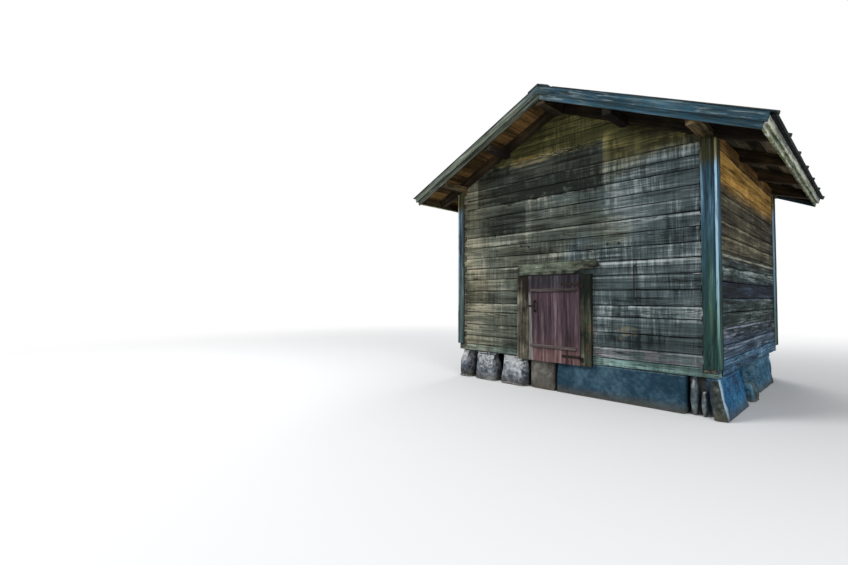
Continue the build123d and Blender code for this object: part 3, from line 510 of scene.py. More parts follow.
def fascia_wood():
    """Fascias: bare pale wood with grey scars and moss along both edges, dark inside."""
    s = Wood("fascia_wood", bands=1.3, tone=0.1, crack_width=0.03, crack_count=12.0)
    s.stir(0.9, s.cloud((3.0, 3.0, 9.0), 5.0, 0.65), 1.2)
    s.lighten(0.1)
    s.shade = s.tones((60, 64, 52), (140, 147, 134), (212, 214, 204))
    edge = s.math("ADD", s.fall(s.rise, 0.0, 0.3), s.span(s.rise, 0.8, 1.0, 0.0, 0.6))
    growth = s.span(s.total((edge, 0.4), (s.cloud((9.0, 9.0, 20.0), 5.0), 1.0)), 0.7, 0.88)
    s.coat((26, 34, 12), (76, 88, 42), (138, 142, 90), growth, 0.9)
    inner = s.fall(s.product(s.facing("X"), s.math("SIGN", s.x)), -0.7, -0.4)
    s.coat((18, 14, 9), (46, 38, 26), (84, 72, 52), inner)
    return s.finish(0.005, top=growth)


def sheltered_wood(name, dark, middle, light, tone=0.4, crack_width=0.014):
    """Timber that the roof or the walls keep dry, before its last touches."""
    s = Wood(name, bands=1.2, tone=tone, crack_width=crack_width)
    s.stir(1.0, s.cloud(2.2), 1.0)
    s.shade = s.tones(dark, middle, light)
    return s


def plate_wood():
    """Wall plates: warm on the wall, dark brown where they run out under the verges."""
    s = sheltered_wood("plate_wood", (20, 15, 8), (54, 45, 28), (112, 94, 64), 0.1, 0.016)
    over_wall = s.fall(s.absolute(s.y), abs(FRONT_Y) - 0.05, abs(FRONT_Y))
    s.coat((48, 30, 11), (114, 84, 40), (190, 146, 88), s.square_to("X", 0.5, 0.8), over_wall)
    return s.finish(0.004)


def deck_wood():
    """Roof boards: brown, but nearly black where they run past the fascia: weathered ends with painted shade.
    """
    s = sheltered_wood("deck_wood", (24, 16, 7), (63, 47, 23), (116, 88, 50), 0.5)
    s.coat((26, 23, 16), (74, 68, 53), (136, 128, 108), s.span(s.x, 0.6, 1.6))
    # Weathered ends with painted shade: nearly black where the boards run past the fascia
    past_eave = s.span(s.absolute(s.x), EAVE_X - 0.006, EAVE_X + 0.002)
    s.coat((12, 17, 18), (30, 38, 38), (62, 70, 64), past_eave)
    return s.finish(0.003)


def frame_wood():
    """Door frame: grey-brown on the left, green-black at the top of the right jamb, with painted shade under
    the lintel on the left jamb and on the side faces of the right jamb.
    """
    s = Wood("frame_wood", bands=1.3, tone=0.1)
    s.stir(0.9, s.cloud((5.0, 5.0, 3.0), 5.0, 0.65), 1.2)
    right_side = s.span(s.x, 0.0, 0.2)
    s.lighten(-0.07)
    s.lighten(-0.32, right_side, s.span(s.z, 1.2, 1.5))
    # Painted shadow of the lintel over the top of the left jamb
    s.lighten(s.span(s.x, 0.0, 0.2, -0.26, 0.0), s.span(s.z, 1.42, 1.62))
    # Painted shade on the side faces of the right jamb
    s.lighten(-0.26, s.square_to("X", 0.5, 0.8), right_side)
    s.shade = s.tones((24, 21, 16), (80, 77, 66), (156, 148, 130))
    s.coat((14, 19, 14), (60, 62, 50), (134, 130, 106), right_side)
    rust = s.span(s.cloud((9.0, 9.0, 6.0)), 0.56, 0.68)
    s.paint((84, 56, 38), rust, s.span(s.z, 1.0, 1.3, 0.4, 0.08))
    return s.finish(0.005)


def lintel_wood():
    """Lintel: olive-grey and lichened, dark along its edges and where its right end has split away."""
    s = Wood("lintel_wood", bands=0.9, tone=0.1, crack_width=0.02)
    cloud = s.cloud((7.0, 7.0, 12.0), 5.0, 0.65)
    s.stir(0.8, cloud, 1.1)
    s.lighten(-0.13)
    s.lighten(-0.12, s.span(s.shifted(s.x, cloud, 0.25), 0.32, 0.42))
    s.lighten(-0.14, s.fall(s.shifted(s.x, cloud, 0.3), -0.6, -0.48))
    s.shade = s.tones((28, 30, 22), (88, 95, 82), (152, 156, 136))
    edge = s.math("MAXIMUM", s.fall(s.rise, 0.0, 0.06), s.span(s.rise, 0.92, 1.0))
    s.paint((34, 36, 28), edge, 0.6)
    return s.finish(0.005)


def painted_wood():
    """Door boards: maroon paint worn thin, redder towards the foot, worn to bare wood at the lock edge."""
    s = Wood("painted_wood", bands=0.9, tone=0.25, crack_width=0.014, crack_count=24.0)
    wash = s.grained(1.3, 26.0, 6.0, 0.62, 0.3)
    s.stir(0.75, wash, 1.0)
    s.lighten(-0.12)
    s.shade = s.tones((28, 19, 23), (70, 56, 62), (128, 110, 112))
    foot = s.fall(s.shifted(s.z, wash, 0.25), DOOR_LOW.z + 0.2, DOOR_LOW.z + 0.5)
    s.coat((46, 26, 26), (101, 77, 77), (150, 130, 128), foot)
    head = s.span(s.z, DOOR_HIGH.z - 0.3, DOOR_HIGH.z - 0.12)
    s.coat((20, 15, 20), (43, 40, 46), (84, 78, 86), head)
    bare = s.tones((54, 53, 50), (126, 126, 124), (186, 185, 182))
    lock_edge = s.fall(s.shifted(s.x, s.z, 0.05), DOOR_LOW.x + 0.095, DOOR_LOW.x + 0.115)
    below_head = s.fall(s.shifted(s.z, wash, 0.2), DOOR_HIGH.z - 0.22, DOOR_HIGH.z - 0.12)
    s.paint(bare, lock_edge, below_head, 0.9)
    worn = s.product(s.span(s.fibre, 0.52, 0.66), s.span(s.grained(1.6, 9.0, 3.0), 0.48, 0.62))
    s.paint(bare, worn, 0.22)
    return s.finish(0.003, crack_depth=0.8)


def ledge_wood():
    """Door ledges: brown-grey, pale on their upward faces: worn, and with painted sky light."""
    s = Wood("ledge_wood", bands=1.2, tone=0.1)
    s.shade = s.tones((27, 22, 22), (70, 64, 64), (124, 112, 106))
    # Upward faces pale: wear, and painted sky light
    s.paint((128, 114, 106), s.span(s.facing("Z"), 0.3, 0.8), 0.7)
    return s.finish(0.002)


def iron(name, metal=0.6):
    """Black iron with rust in its pits."""
    s = Surface(name)
    rust = s.cloud(38.0, 6.0, 0.65)
    pits = s.cloud(160.0, 3.0)
    s.shade = s.ramp(s.swing((rust, 1.8)), (18, 19, 21), (31, 29, 29), (66, 48, 38))
    s.shader.inputs["Metallic"].default_value = metal
    return s.done(s.span(rust, 0.35, 0.65, 0.55, 0.85), s.total((rust, 0.5), (pits, 0.5)), 0.0012)


def felt():
    """Old roofing felt: nearly black, with grit worn off and grey-green lichen."""
    s = Surface("old_felt")
    grit = s.cloud(240.0, 2.0)
    cloud = s.cloud(1.8, 5.0, 0.6)
    runs = s.grained(7.0, 0.5, 5.0, 0.6)
    fine_runs = s.grained(34.0, 1.6, 3.0)
    value = s.swing((cloud, 0.8), (runs, 1.0), (fine_runs, 0.6), (grit, 0.9))
    s.shade = s.ramp(value, (18, 23, 25), (38, 45, 47), (84, 92, 92))
    lichen = s.product(s.span(s.cloud(6.0, 6.0, 0.7), 0.56, 0.66), s.span(s.cloud(60.0, 3.0), 0.42, 0.58))
    s.paint((66, 78, 52), lichen, 0.7)
    height = s.total((grit, 0.35), (cloud, 0.4), (lichen, 0.5))
    return s.done(s.span(grit, 0.3, 0.7, 0.95, 0.8), height, 0.003)


def slab_stain(s, value):
    """The leaning slab is brown on its end, with a painted highlight along its near arris, and cleft down the
    middle.
    """
    near_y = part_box("foundation_corner_block")[0].y
    ragged = s.cloud(6.0, 5.0)
    ending = s.fall(s.facing("Y"), -0.75, -0.45)
    s.paint(s.ramp(value, (24, 28, 26), (50, 56, 52), (108, 112, 102)), ending)
    # Painted highlight along the near arris, on faces turned to +X
    arris = s.fall(s.total((s.y, 1.0), (s.z, -0.15), (ragged, 0.16)), near_y + 0.12, near_y + 0.2)
    long_face = s.math("SUBTRACT", 1.0, ending)
    s.paint((158, 182, 198), arris, long_face, s.span(s.facing("X"), 0.1, 0.4), 0.9)
    cleft = s.line(s.total((s.y, 1.0), (s.z, 0.35), (ragged, 0.5)), near_y + 0.95, 0.014)
    s.paint((10, 24, 38), cleft, 0.8)


def boulder_stain(s, value):
    """Moss on the low boulder that stands against the cobbles."""
    beside = s.product(s.window(s.y, -0.66, -0.16, 0.01), s.span(s.x, WALL_X + 0.01, WALL_X + 0.03))
    low = s.fall(s.z, GROUND + 0.26, GROUND + 0.28)
    s.paint(s.ramp(value, (14, 24, 12), (38, 52, 30), (92, 98, 78)), beside, low, 0.85)


def granite(name, dark, middle, light, top, top_amount, contrast, stain=None):
    """Split granite: speckled crystals, broad cloudy tones, dirt low down, and pale top faces of lichen with
    painted sunlight.
    """
    s = Surface(name)
    crystals = s.cloud(150.0, 4.0, 0.7)
    chips = s.cloud(16.0, 6.0, 0.65)
    cloud = s.cloud(2.6, 5.0, 0.6)
    value = s.swing((cloud, 1.3 * contrast), (chips, contrast), (crystals, 0.6), (s.tone, 0.2))
    s.shade = s.ramp(value, dark, middle, light)
    if stain:
        stain(s, value)
    # Pale top faces: lichen, with painted sunlight on what faces up
    up = s.span(s.shifted(s.facing("Z"), chips, 0.8), 0.5, 0.95)
    mottle = s.span(s.cloud(34.0, 5.0, 0.7), 0.42, 0.54)
    s.paint(top, up, mottle, top_amount)
    veins = s.product(s.line(s.cloud(5.0, 5.0, 0.6), 0.5, 0.006), 0.5)
    s.paint(dark, veins)
    s.paint((70, 66, 56), s.fall(s.shifted(s.z, chips, -0.12), -0.05, 0.1), 0.7)
    height = s.total((crystals, 0.2), (chips, 0.8), (veins, -0.4))
    return s.done(s.span(crystals, 0.3, 0.7, 0.9, 0.68), height, 0.012)


def added(name, data):
    """A new object in the scene."""
    made = bpy.data.objects.new(name, data)
    bpy.context.scene.collection.objects.link(made)
    return made


def low_first(mesh):
    """Mean place of a solid, with its height first, to sort solids by."""
    return tuple(round(sum(vert.co[i] for vert in mesh.verts) / len(mesh.verts), 4) for i in (2, 1, 0))


def parts_of(node):
    """The separate solids of a CAD node as bmeshes, lowest first."""
    source = bmesh.new()
    source.from_mesh(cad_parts[node].data)
    bmesh.ops.remove_doubles(source, verts=source.verts, dist=1e-6)
    left = dict.fromkeys(source.faces)
    found = []
    while left:
        stack = [left.popitem()[0]]
        group = [stack[0]]
        while stack:
            for edge in stack.pop().edges:
                for face in edge.link_faces:
                    if face in left:
                        del left[face]
                        stack.append(face)
                        group.append(face)
        piece = bmesh.new()
        twins = {}
        for face in group:
            for vert in face.verts:
                if vert not in twins:
                    twins[vert] = piece.verts.new(vert.co)
        for face in group:
            piece.faces.new([twins[vert] for vert in face.verts])
        bmesh.ops.recalc_face_normals(piece, faces=piece.faces)
        found.append(piece)
    source.free()
    return sorted(found, key=low_first)


def reach(mesh, axis):
    """Lowest and highest place of a mesh along an axis."""
    along = [vert.co.dot(axis) for vert in mesh.verts]
    return min(along), max(along)


def cut(mesh, facing, at, clear_outer=False):
    """Cuts a solid by the plane square to a direction, at a distance along it."""
    bmesh.ops.bisect_plane(mesh, geom=mesh.verts[:] + mesh.edges[:] + mesh.faces[:], dist=1e-5,
                           plane_co=facing * at, plane_no=facing, clear_outer=clear_outer)


def cut_up(mesh, axes, steps):
    """Divides a solid by planes square to each axis."""
    bmesh.ops.dissolve_limit(mesh, angle_limit=0.02, verts=mesh.verts, edges=mesh.edges)
    for axis, step in zip(axes, steps):
        low, high = reach(mesh, axis)
        count = int((high - low) / step)
        for i in range(1, count + 1):
            cut(mesh, axis, low + (high - low) * i / (count + 1))


def sink(mesh, depth_at):
    """Moves the vertices of a mesh inwards, each to its own depth."""
    mesh.normal_update()
    moves = [-vert.normal * depth_at(vert) for vert in mesh.verts]
    for vert, move in zip(mesh.verts, moves):
        vert.co += move


def wear(mesh, seed, edge_wear, roughness, along):
    """Sinks the surface a little, more along the edges, in a pattern stretched along the grain."""
    shift = Vector((seed * 7.3, seed * 3.1, seed * 5.7))

    def depth_at(vert):
        sharp = any(len(edge.link_faces) == 2 and edge.calc_face_angle(0.0) > SHARP_EDGE
                    for edge in vert.link_edges)
        run = vert.co.dot(along)
        at = (vert.co - along * run) * WEAR_ACROSS + along * run * WEAR_ALONG + shift
        wave = 0.5 + 0.5 * noise.fractal(at, 0.9, 2.1, 3)
        chip = max(0.0, noise.noise(at * 2.3 + shift)) ** 1.5
        depth = roughness * wave
        if sharp:
            depth += edge_wear * (0.35 * wave + chip)
        return max(0.0, depth)

    sink(mesh, depth_at)


def joined(name, meshes, axes_of, body, material, smooth=0.6):
    """One object from several solids. Its vertices keep the grain's directions, how far up the solid they
    stand and the solid's own tone."""
    bm = bmesh.new()
    grain_layer = bm.verts.layers.float_vector.new("grain")
    tone_layer = bm.verts.layers.float.new("tone")
    rise_layer = bm.verts.layers.float.new("rise")
    picker = random.Random(name)
    for mesh in meshes:
        axes = axes_of(mesh)
        low, high = reach(mesh, axes[1])
        offset = Vector([picker.uniform(-9, 9) for _ in range(3)])
        tone = picker.random()
        twins = {}
        for vert in mesh.verts:
            new = bm.verts.new(vert.co)
            new[grain_layer] = Vector([vert.co.dot(axis) for axis in axes]) + offset
            new[rise_layer] = (vert.co.dot(axes[1]) - low) / (high - low)
            new[tone_layer] = tone
            twins[vert] = new
        for face in mesh.faces:
            bm.faces.new([twins[vert] for vert in face.verts]).smooth = True
        mesh.free()
    data = bpy.data.meshes.new(name)
    bmesh.ops.triangulate(bm, faces=[face for face in bm.faces if len(face.verts) > 4])
    bm.to_mesh(data)
    bm.free()
    data.set_sharp_from_angle(angle=smooth)
    data.materials.append(material)
    piece = added(name, data)
    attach(piece, body)
    return piece


def house_axes(mesh):
    """Across, up and along the house."""
    return X_AXIS, Z_AXIS, Y_AXIS


def slope_axis(mesh):
    """Down the roof slope on the side of the house that the solid is on."""
    middle = sum(vert.co.x for vert in mesh.verts) / len(mesh.verts)
    return Vector((math.copysign(math.cos(PITCH), middle), 0, -math.sin(PITCH)))


def timber(node, along, steps, material, body, edge_wear, roughness):
    """Replaces a CAD node by the same timbers with worn edges and an uneven surface."""
    def axes_of(mesh):
        """Directions along the grain, up the wider side and through the thickness."""
        way = along(mesh) if callable(along) else along
        depth = Y_AXIS if abs(way.y) < 0.5 else X_AXIS
        width = depth.cross(way).normalized()
        if width.z < -0.1:
            width = -width
        spans = [high - low for low, high in (reach(mesh, width), reach(mesh, depth))]
        return (way, width, depth) if spans[0] >= spans[1] else (way, depth, width)

    meshes = parts_of(node)
    for index, mesh in enumerate(meshes):
        axes = axes_of(mesh)
        cut_up(mesh, axes, steps)
        wear(mesh, index + len(node), edge_wear, roughness, axes[0])
    piece = joined(node + "_worn", meshes, axes_of, body, material)
    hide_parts(node)


def flaked(mesh, picker, count, depth):
    """Strikes flakes off a lump: cuts it by planes a little inside its sides."""
    for _ in range(count):
        turn = picker.uniform(0, 2 * math.pi)
        lift = picker.uniform(-0.1, 0.25)
        facing = Vector((math.cos(turn) * math.cos(lift), math.sin(turn) * math.cos(lift), math.sin(lift)))
        outside = reach(mesh, facing)[1]
        cut(mesh, facing, outside - depth * picker.uniform(0.4, 1.0), clear_outer=True)
        bmesh.ops.holes_fill(mesh, edges=[edge for edge in mesh.edges if edge.is_boundary])


def remeshed(mesh, voxel):
    """The same lump in small even faces."""
    data = bpy.data.meshes.new("stone")
    mesh.to_mesh(data)
    mesh.free()
    lump = added("stone", data)
    remesh = lump.modifiers.new("remesh", "REMESH")
    remesh.mode = "VOXEL"
    remesh.voxel_size = voxel
    bpy.context.view_layer.update()
    shaped = bpy.data.meshes.new_from_object(lump.evaluated_get(bpy.context.evaluated_depsgraph_get()))
    bpy.data.objects.remove(lump)
    bpy.data.meshes.remove(data)
    rough = bmesh.new()
    rough.from_mesh(shaped)
    bpy.data.meshes.remove(shaped)
    return rough


def tapered(mesh, share):
    """Draws a lump in towards its head and foot."""
    foot, top = reach(mesh, Z_AXIS)
    middle = sum((vert.co for vert in mesh.verts), Vector()) / len(mesh.verts)
    for vert in mesh.verts:
        off = 2 * (vert.co.z - foot) / (top - foot) - 1
        width = 1 - share * off * off
        vert.co.x = middle.x + (vert.co.x - middle.x) * width
        vert.co.y = middle.y + (vert.co.y - middle.y) * width


def hewn(mesh, shift, chip):
    """Sinks hollows, facets and grit into a lump, less at its head and foot."""
    top = reach(mesh, Z_AXIS)[1]

    def depth_at(vert):
        at = vert.co + shift
        hollow = 0.5 + 0.5 * noise.noise(at * HOLLOWS[0])
        facet = noise.voronoi(at * FACETS[0])[0][0]
        grit = 0.5 + 0.5 * noise.noise(at * GRIT[0])
        depth = chip * (HOLLOWS[1] * hollow + FACETS[1] * facet + GRIT[1] * grit)
        if vert.co.z > top - BED_TOP or vert.co.z < BED_FOOT:
            depth *= BED_SHARE
        return depth

    sink(mesh, depth_at)
    for vert in mesh.verts:
        vert.co.z = max(vert.co.z, GROUND)


def stones(node, material, voxel, chip, rounding, flakes, flake_depth, drawn_in):
    """Replaces the plain lumps of a CAD node by rough stones in the same places."""
    picker = random.Random(node)
    meshes = []
    for index, mesh in enumerate(parts_of(node)):
        flaked(mesh, picker, flakes, flake_depth)
        rough = remeshed(mesh, voxel)
        for _ in range(rounding):
            bmesh.ops.smooth_vert(rough, verts=rough.verts, factor=0.5, use_axis_x=True, use_axis_y=True,
                                  use_axis_z=True)
        tapered(rough, drawn_in)
        hewn(rough, Vector((index * 11.3 + len(node), index * 5.1, 0)), chip)
        meshes.append(rough)
    piece = joined(node + "_rough", meshes, house_axes, HOUSE, material, smooth=0.9)
    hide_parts(node)


old_felt = felt()
frame_boards = frame_wood()
floor_wood = sheltered_wood("floor_wood", (36, 33, 27), (92, 84, 70), (150, 138, 118)).finish(0.003)
# Purlins near black: painted shade of the roof over them
purlin_wood = sheltered_wood("purlin_timber", (10, 8, 5), (26, 21, 14), (62, 51, 36)).finish(0.003)
rafter_wood = sheltered_wood("sheltered_timber", (16, 12, 7), (40, 32, 20), (86, 70, 48)).finish(0.003)
FRONT_LOGS = ("front_sill_log", "front_wall_left", "front_wall_right", "front_wall_upper", "front_gable")
CASINGS = ["corner_casing_" + place for place in ("front_left", "front_right", "back_left", "back_right")]
# Nodes, direction of the grain, spacing of the cuts along, up and through it, material, slot, wear of the
# edges and of the faces
for nodes, along, steps, material, slot, edge_wear, roughness in (
    (FRONT_LOGS, X_AXIS, (0.05, 0.035, 0.2), gable_wood("door_gable_logs"), LOGS, 0.012, 0.005),
    (("back_wall", "back_gable"), X_AXIS, (0.08, 0.05, 0.2), gable_wood("back_gable_logs", plain=True),
     LOGS, 0.012, 0.005),
    (("left_wall",), Y_AXIS, (0.07, 0.05, 0.2), side_wall_wood("far_wall_logs", plain=True),
     LOGS, 0.012, 0.005),
    (("right_wall",), Y_AXIS, (0.07, 0.05, 0.2), side_wall_wood("side_wall_logs"), LOGS, 0.012, 0.005),
    (("wall_plate_left", "wall_plate_right"), Y_AXIS, (0.1, 0.06, 0.2), plate_wood(),
     ROOF_TIMBER, 0.008, 0.003),
    (("ridge_purlin", "side_purlins"), Y_AXIS, (0.1, 0.08, 0.2), purlin_wood, ROOF_TIMBER, 0.008, 0.003),
    (("rafters_left", "rafters_right", "verge_rafters"), slope_axis, (0.1, 0.06, 0.2), rafter_wood,
     ROOF_TIMBER, 0.006, 0.003),
    (("roof_deck_left", "roof_deck_right"), Y_AXIS, (0.16, 0.2, 0.3), deck_wood(), ROOF_TIMBER, 0.002, 0.001),
    (("roof_felt_left", "roof_felt_right"), Y_AXIS, (0.12, 0.12, 0.2), old_felt,
     "roofing_felt", 0.002, 0.0015),
    (("felt_battens",), slope_axis, (0.12, 0.03, 0.2), old_felt, DARK_WOOD, 0.008, 0.004),
    (("ridge_boards",), Y_AXIS, (0.12, 0.05, 0.2), old_felt, DARK_WOOD, 0.004, 0.002),
    (("barge_boards_front", "barge_boards_back"), slope_axis, (0.06, 0.05, 0.2), barge_wood(),
     TRIM, 0.006, 0.0015),
    (("fascia_left", "fascia_right"), Y_AXIS, (0.06, 0.05, 0.2), fascia_wood(), TRIM, 0.006, 0.0015),
    (CASINGS, Z_AXIS, (0.08, 0.06, 0.2), casing_wood(), TRIM, 0.005, 0.0015),
    (("door_jamb_left", "door_jamb_right"), Z_AXIS, (0.05, 0.05, 0.2), frame_boards, LOGS, 0.01, 0.003),
    (("threshold",), X_AXIS, (0.08, 0.2, 0.2), frame_boards, LOGS, 0.008, 0.003),
    (("door_lintel",), X_AXIS, (0.03, 0.03, 0.2), lintel_wood(), LOGS, 0.012, 0.003),
    (("door_boards",), Z_AXIS, (0.08, 0.04, 0.2), painted_wood(), RED_BOARDS, 0.004, 0.001),
    (("door_ledge_upper", "door_ledge_lower"), X_AXIS, (0.04, 0.012, 0.012), ledge_wood(),
     RED_BOARDS, 0.007, 0.001),
    (("floor_boards",), Y_AXIS, (0.2, 0.3, 0.3), floor_wood, LOGS, 0.002, 0.001),
    (("floor_joists",), X_AXIS, (0.2, 0.3, 0.3), floor_wood, LOGS, 0.004, 0.001),
):
    body = DOOR if slot == RED_BOARDS else HOUSE
    for node in nodes:
        timber(node, along, steps, material, body, edge_wear, roughness)

black_iron = iron("old_iron")
for node in ("strap_hinge_upper", "strap_hinge_lower", "door_handle", "door_pintles", "wall_rod"):
    for material_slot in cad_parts[node].material_slots:
        material_slot.link = "OBJECT"
        material_slot.material = black_iron

# Dark, middle and light colour, colour and amount of the pale top faces (lichen with painted sunlight),
# contrast
cobble = granite("cobble_granite", (34, 42, 46), (86, 98, 104), (160, 168, 168), (168, 172, 168), 0.8, 1.2)
boulder = granite("boulder_granite", (24, 31, 38), (76, 82, 90), (156, 160, 164), (180, 181, 180), 0.85, 1.4)
brown = granite("brown_granite", (40, 38, 34), (84, 82, 77), (138, 134, 124), (150, 146, 134), 0.5, 0.8)
# The blue of the block, slab and side granites is painted sky light in shade
block = granite("block_granite", (8, 25, 35), (25, 52, 68), (72, 98, 112), (92, 106, 112), 0.5, 0.7)
slab = granite("slab_granite", (0, 30, 52), (2, 73, 116), (60, 124, 156), (96, 130, 150), 0.35, 1.4,
               slab_stain)
side_stone = granite("side_granite", (10, 37, 52), (30, 82, 110), (98, 140, 160), (112, 136, 150), 0.45, 1.4,
                     boulder_stain)
# Stones, granite, face size, depth of hollows, rounds of smoothing, flakes and their depth, drawing in
for place, material, voxel, chip, rounding, flakes, flake_depth, drawn_in in (
    ("front_boulders", boulder, 0.018, 0.035, 3, 9, 0.055, 0.0),
    ("door_block", brown, 0.018, 0.014, 2, 3, 0.03, 0.0),
    ("front_block", block, 0.02, 0.014, 2, 4, 0.03, 0.0),
    ("packing_stones", cobble, 0.01, 0.01, 4, 8, 0.03, 0.45),
    ("corner_block", slab, 0.018, 0.018, 2, 4, 0.04, 0.0),
    ("right_stones", side_stone, 0.024, 0.024, 3, 7, 0.06, 0.0),
    ("left_stones", cobble, 0.03, 0.03, 4, 7, 0.06, 0.0),
    ("back_stones", cobble, 0.03, 0.03, 4, 7, 0.06, 0.0),
):
    stones("foundation_" + place, material, voxel, chip, rounding, flakes, flake_depth, drawn_in)


def nail_heads(name, places, facing, body, spread=0.0045, height=0.003):
    """Domed nail heads at places on upright faces."""
    across = facing.cross(Z_AXIS)
    meshes = []
    for place in places:
        head = bmesh.new()
        rings = []
        for share, lift in ((1.0, -0.006), (1.0, 0.0005), (0.6, height)):
            ring = []
            for i in range(NAIL_SIDES):
                turn = 2 * math.pi * i / NAIL_SIDES
                out = (across * math.cos(turn) + facing.cross(across) * math.sin(turn)) * spread * share
                ring.append(head.verts.new(place + out + facing * lift))
            rings.append(ring)
        for lower, upper in zip(rings[:-1], rings[1:]):
            for i in range(NAIL_SIDES):
                head.faces.new((lower[i - 1], lower[i], upper[i], upper[i - 1]))
        head.faces.new(rings[-1])
        head.faces.new(reversed(rings[0]))
        bmesh.ops.recalc_face_normals(head, faces=head.faces)
        meshes.append(head)
    joined(name, meshes, house_axes, body, nail_iron)


def splinters(name, count, low, high, length, material):
    """Torn slivers that lift off the front wall: each runs along the grain to a point."""
    picker = random.Random(name)
    meshes = []
    for _ in range(count):
        root = Vector([picker.uniform(a, b) for a, b in zip(low, high)])
        run = X_AXIS * picker.uniform(*length) * picker.choice((-1, 1))
        half = Z_AXIS * picker.uniform(0.002, 0.006)
        lift = FORWARD * picker.uniform(0.003, 0.007)
        sliver = bmesh.new()
        ring = [sliver.verts.new(root + off) for off in (half, -half, lift)]
        middle = root + run * 0.55 + Z_AXIS * picker.uniform(-0.003, 0.003)
        waist = [sliver.verts.new(middle + off) for off in (half * 0.7, -half * 0.7, lift * 0.9)]
        tip = sliver.verts.new(root + run + FORWARD * 0.002)
        for i in range(3):
            sliver.faces.new((ring[i - 1], ring[i], waist[i], waist[i - 1]))
            sliver.faces.new((waist[i - 1], waist[i], tip))
        sliver.faces.new(ring)
        bmesh.ops.recalc_face_normals(sliver, faces=sliver.faces)
        meshes.append(sliver)
    joined(name, meshes, lambda mesh: (X_AXIS, Z_AXIS, FORWARD), HOUSE, material)


def barge_nails(high, plane):
    """Pairs of nails down both slopes of the barge boards."""
    top = high.z - 0.03
    places = []
    for side in (-1, 1):
        x = 0.18
        while x < high.x - 0.12:
            for drop in (0.055, 0.085):
                down = drop + picker.uniform(-0.01, 0.01)
                places.append(Vector((side * x, plane, top - x * math.tan(PITCH) - down)))
            x += picker.uniform(*BARGE_NAIL_GAP)
    return places


def casing_nails(low, high, plane, sign):
    """Pairs of nails up a corner casing, near its two edges."""
    inner, outer = sorted((abs(low.x), abs(high.x)))
    places = []
    z = low.z + 0.12
    while z < low.z + 2.7:
        for x in (inner + 0.03, outer - 0.045):
            aside = picker.uniform(-0.006, 0.006)
            places.append(Vector((sign * (x + aside), plane, z + picker.uniform(-0.02, 0.02))))
        z += picker.uniform(*CASING_NAIL_GAP)
    return places


nail_iron = iron("nail_iron", metal=0.2)
picker = random.Random("nails")
for name, facing, outer_face in (("front", FORWARD, 0), ("back", Y_AXIS, 1)):
    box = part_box("barge_boards_" + name)
    nail_heads("barge_nails_" + name, barge_nails(box[1], box[outer_face].y), facing, HOUSE)
    for side, sign in (("left", -1), ("right", 1)):
        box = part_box("corner_casing_%s_%s" % (name, side))
        places = casing_nails(*box, box[outer_face].y, sign)
        nail_heads("casing_nails_%s_%s" % (name, side), places, facing, HOUSE)

for ledge in ("door_ledge_upper", "door_ledge_lower"):
    low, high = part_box(ledge)
    places = []
    for i in range(6):
        x = low.x + (high.x - low.x) * (i + 0.5) / 6 + picker.uniform(-0.03, 0.03)
        places.append(Vector((x, low.y + 0.0012, (low.z + high.z) / 2 + picker.uniform(-0.006, 0.006))))
    nail_heads(ledge + "_nails", places, FORWARD, DOOR)
for hinge in ("strap_hinge_upper", "strap_hinge_lower"):
    low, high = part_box(hinge)
    middle = (low.z + high.z) / 2
    places = [Vector((high.x - reach_in, DOOR_LOW.y - 0.0045, middle)) for reach_in in (0.09, 0.17, 0.25)]
    nail_heads(hinge + "_nails", places, FORWARD, DOOR, spread=0.006, height=0.002)

pale_splinter = sheltered_wood("splinter_wood", (60, 56, 40), (112, 106, 80), (160, 152, 120)).finish(0.003)
grey_splinter = sheltered_wood("grey_splinter", (34, 32, 28), (74, 69, 62), (118, 110, 98)).finish(0.003)
splinters("torn_gable_log", 46, (-0.86, FRONT_Y + 0.003, 3.69), (0.6, FRONT_Y + 0.005, 3.75), (0.05, 0.2),
          pale_splinter)
low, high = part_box("door_lintel")
splinters("torn_lintel_end", 16, (high.x - 0.2, low.y + 0.004, low.z + 0.06),
          (high.x - 0.12, low.y + 0.006, high.z - 0.03), (0.04, 0.1), grey_splinter)

# Camera in front of the house, at its right
YAW, TILT, ROLL = (math.radians(angle) for angle in (46.534, 1.949, 0.254))
CAMERA_PLACE = Vector((3.378, -8.239, 1.443))
lifted = Matrix.Rotation(math.pi / 2 + TILT, 4, "X") @ Matrix.Rotation(ROLL, 4, "Z")
camera_data = bpy.data.cameras.new("camera")
camera_data.sensor_width = 36.0
camera_data.lens = 18.28
camera = added("camera", camera_data)
camera.matrix_world = Matrix.Translation(CAMERA_PLACE) @ Matrix.Rotation(YAW, 4, "Z") @ lifted
bpy.context.scene.camera = camera


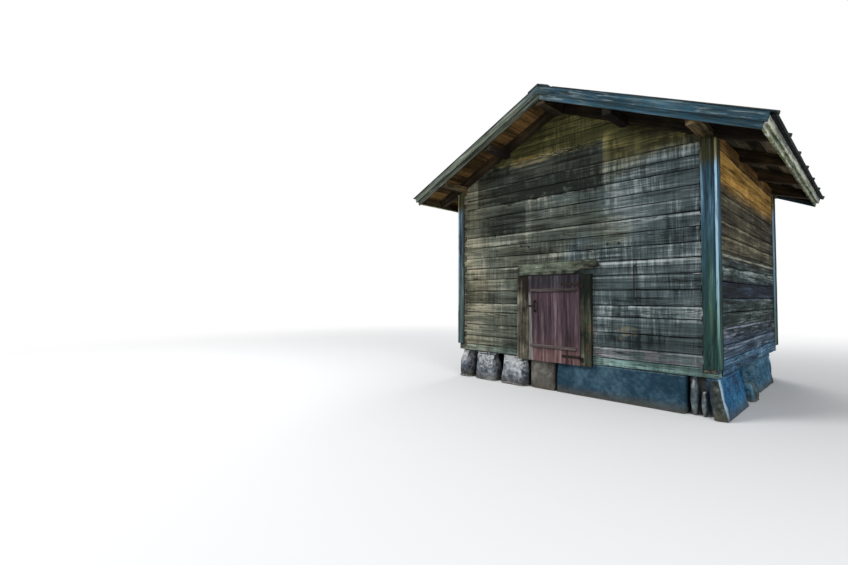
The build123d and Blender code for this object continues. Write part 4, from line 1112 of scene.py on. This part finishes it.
def lamp(name, place, size, power):
    """Round soft lamp aimed at the middle of the house."""
    data = bpy.data.lights.new(name, "AREA")
    data.shape = "DISK"
    data.size = size
    data.energy = power
    made = added(name, data)
    made.location = place
    made.rotation_mode = "QUATERNION"
    made.rotation_quaternion = (HOUSE_MIDDLE - Vector(place)).to_track_quat("-Z", "Y")


lamp("key", (-7.0, -13.0, 9.0), 7.0, 1750.0)
lamp("fill", (12.0, -9.0, 5.0), 9.0, 1000.0)
lamp("back", (-4.0, 13.0, 9.0), 8.0, 1050.0)

# Even pale light all round. Seen directly the surroundings are plain white.
world = bpy.data.worlds.new("studio")
bpy.context.scene.world = world
around = Nodes(world)
seen = around.node("ShaderNodeBackground", Color=(1, 1, 1, 1)).outputs[0]
ambient = around.node("ShaderNodeBackground", Color=(0.93, 0.96, 1.0, 1), Strength=0.43).outputs[0]
rays = around.node("ShaderNodeLightPath").outputs
either = around.math("MAXIMUM", rays["Is Camera Ray"], rays["Is Glossy Ray"])
either = around.math("MAXIMUM", either, rays["Is Transmission Ray"])
around.mixed(either, ambient, seen, "ShaderNodeOutputWorld")

# Pale floor that keeps the shadow near the house and fades into the background.
FLOOR_RADIUS, FADE_FROM, FADE_TO = 90.0, 5.0, 16.0
floor_mesh = bmesh.new()
bmesh.ops.create_circle(floor_mesh, cap_ends=True, radius=FLOOR_RADIUS, segments=64)
floor_data = bpy.data.meshes.new("studio_floor")
floor_mesh.to_mesh(floor_data)
floor_mesh.free()
floor = added("studio_floor", floor_data)
floor.location.z = GROUND - 0.001
pale = bpy.data.materials.new("studio_floor")
ground = Nodes(pale)
matt = ground.node("ShaderNodeBsdfDiffuse", Color=(0.82, 0.82, 0.82, 1)).outputs[0]
glow = ground.node("ShaderNodeEmission").outputs[0]
length = ground.node("ShaderNodeVectorMath", {"operation": "LENGTH"})
ground.feed(length.inputs[0], ground.node("ShaderNodeTexCoord").outputs["Object"])
far = ground.span(length.outputs["Value"], FADE_FROM, FADE_TO)
both = ground.math("MULTIPLY", far, ground.node("ShaderNodeLightPath").outputs["Is Camera Ray"])
ground.mixed(both, matt, glow, "ShaderNodeOutputMaterial")
floor_data.materials.append(pale)

bpy.context.scene.view_settings.view_transform = "Standard"
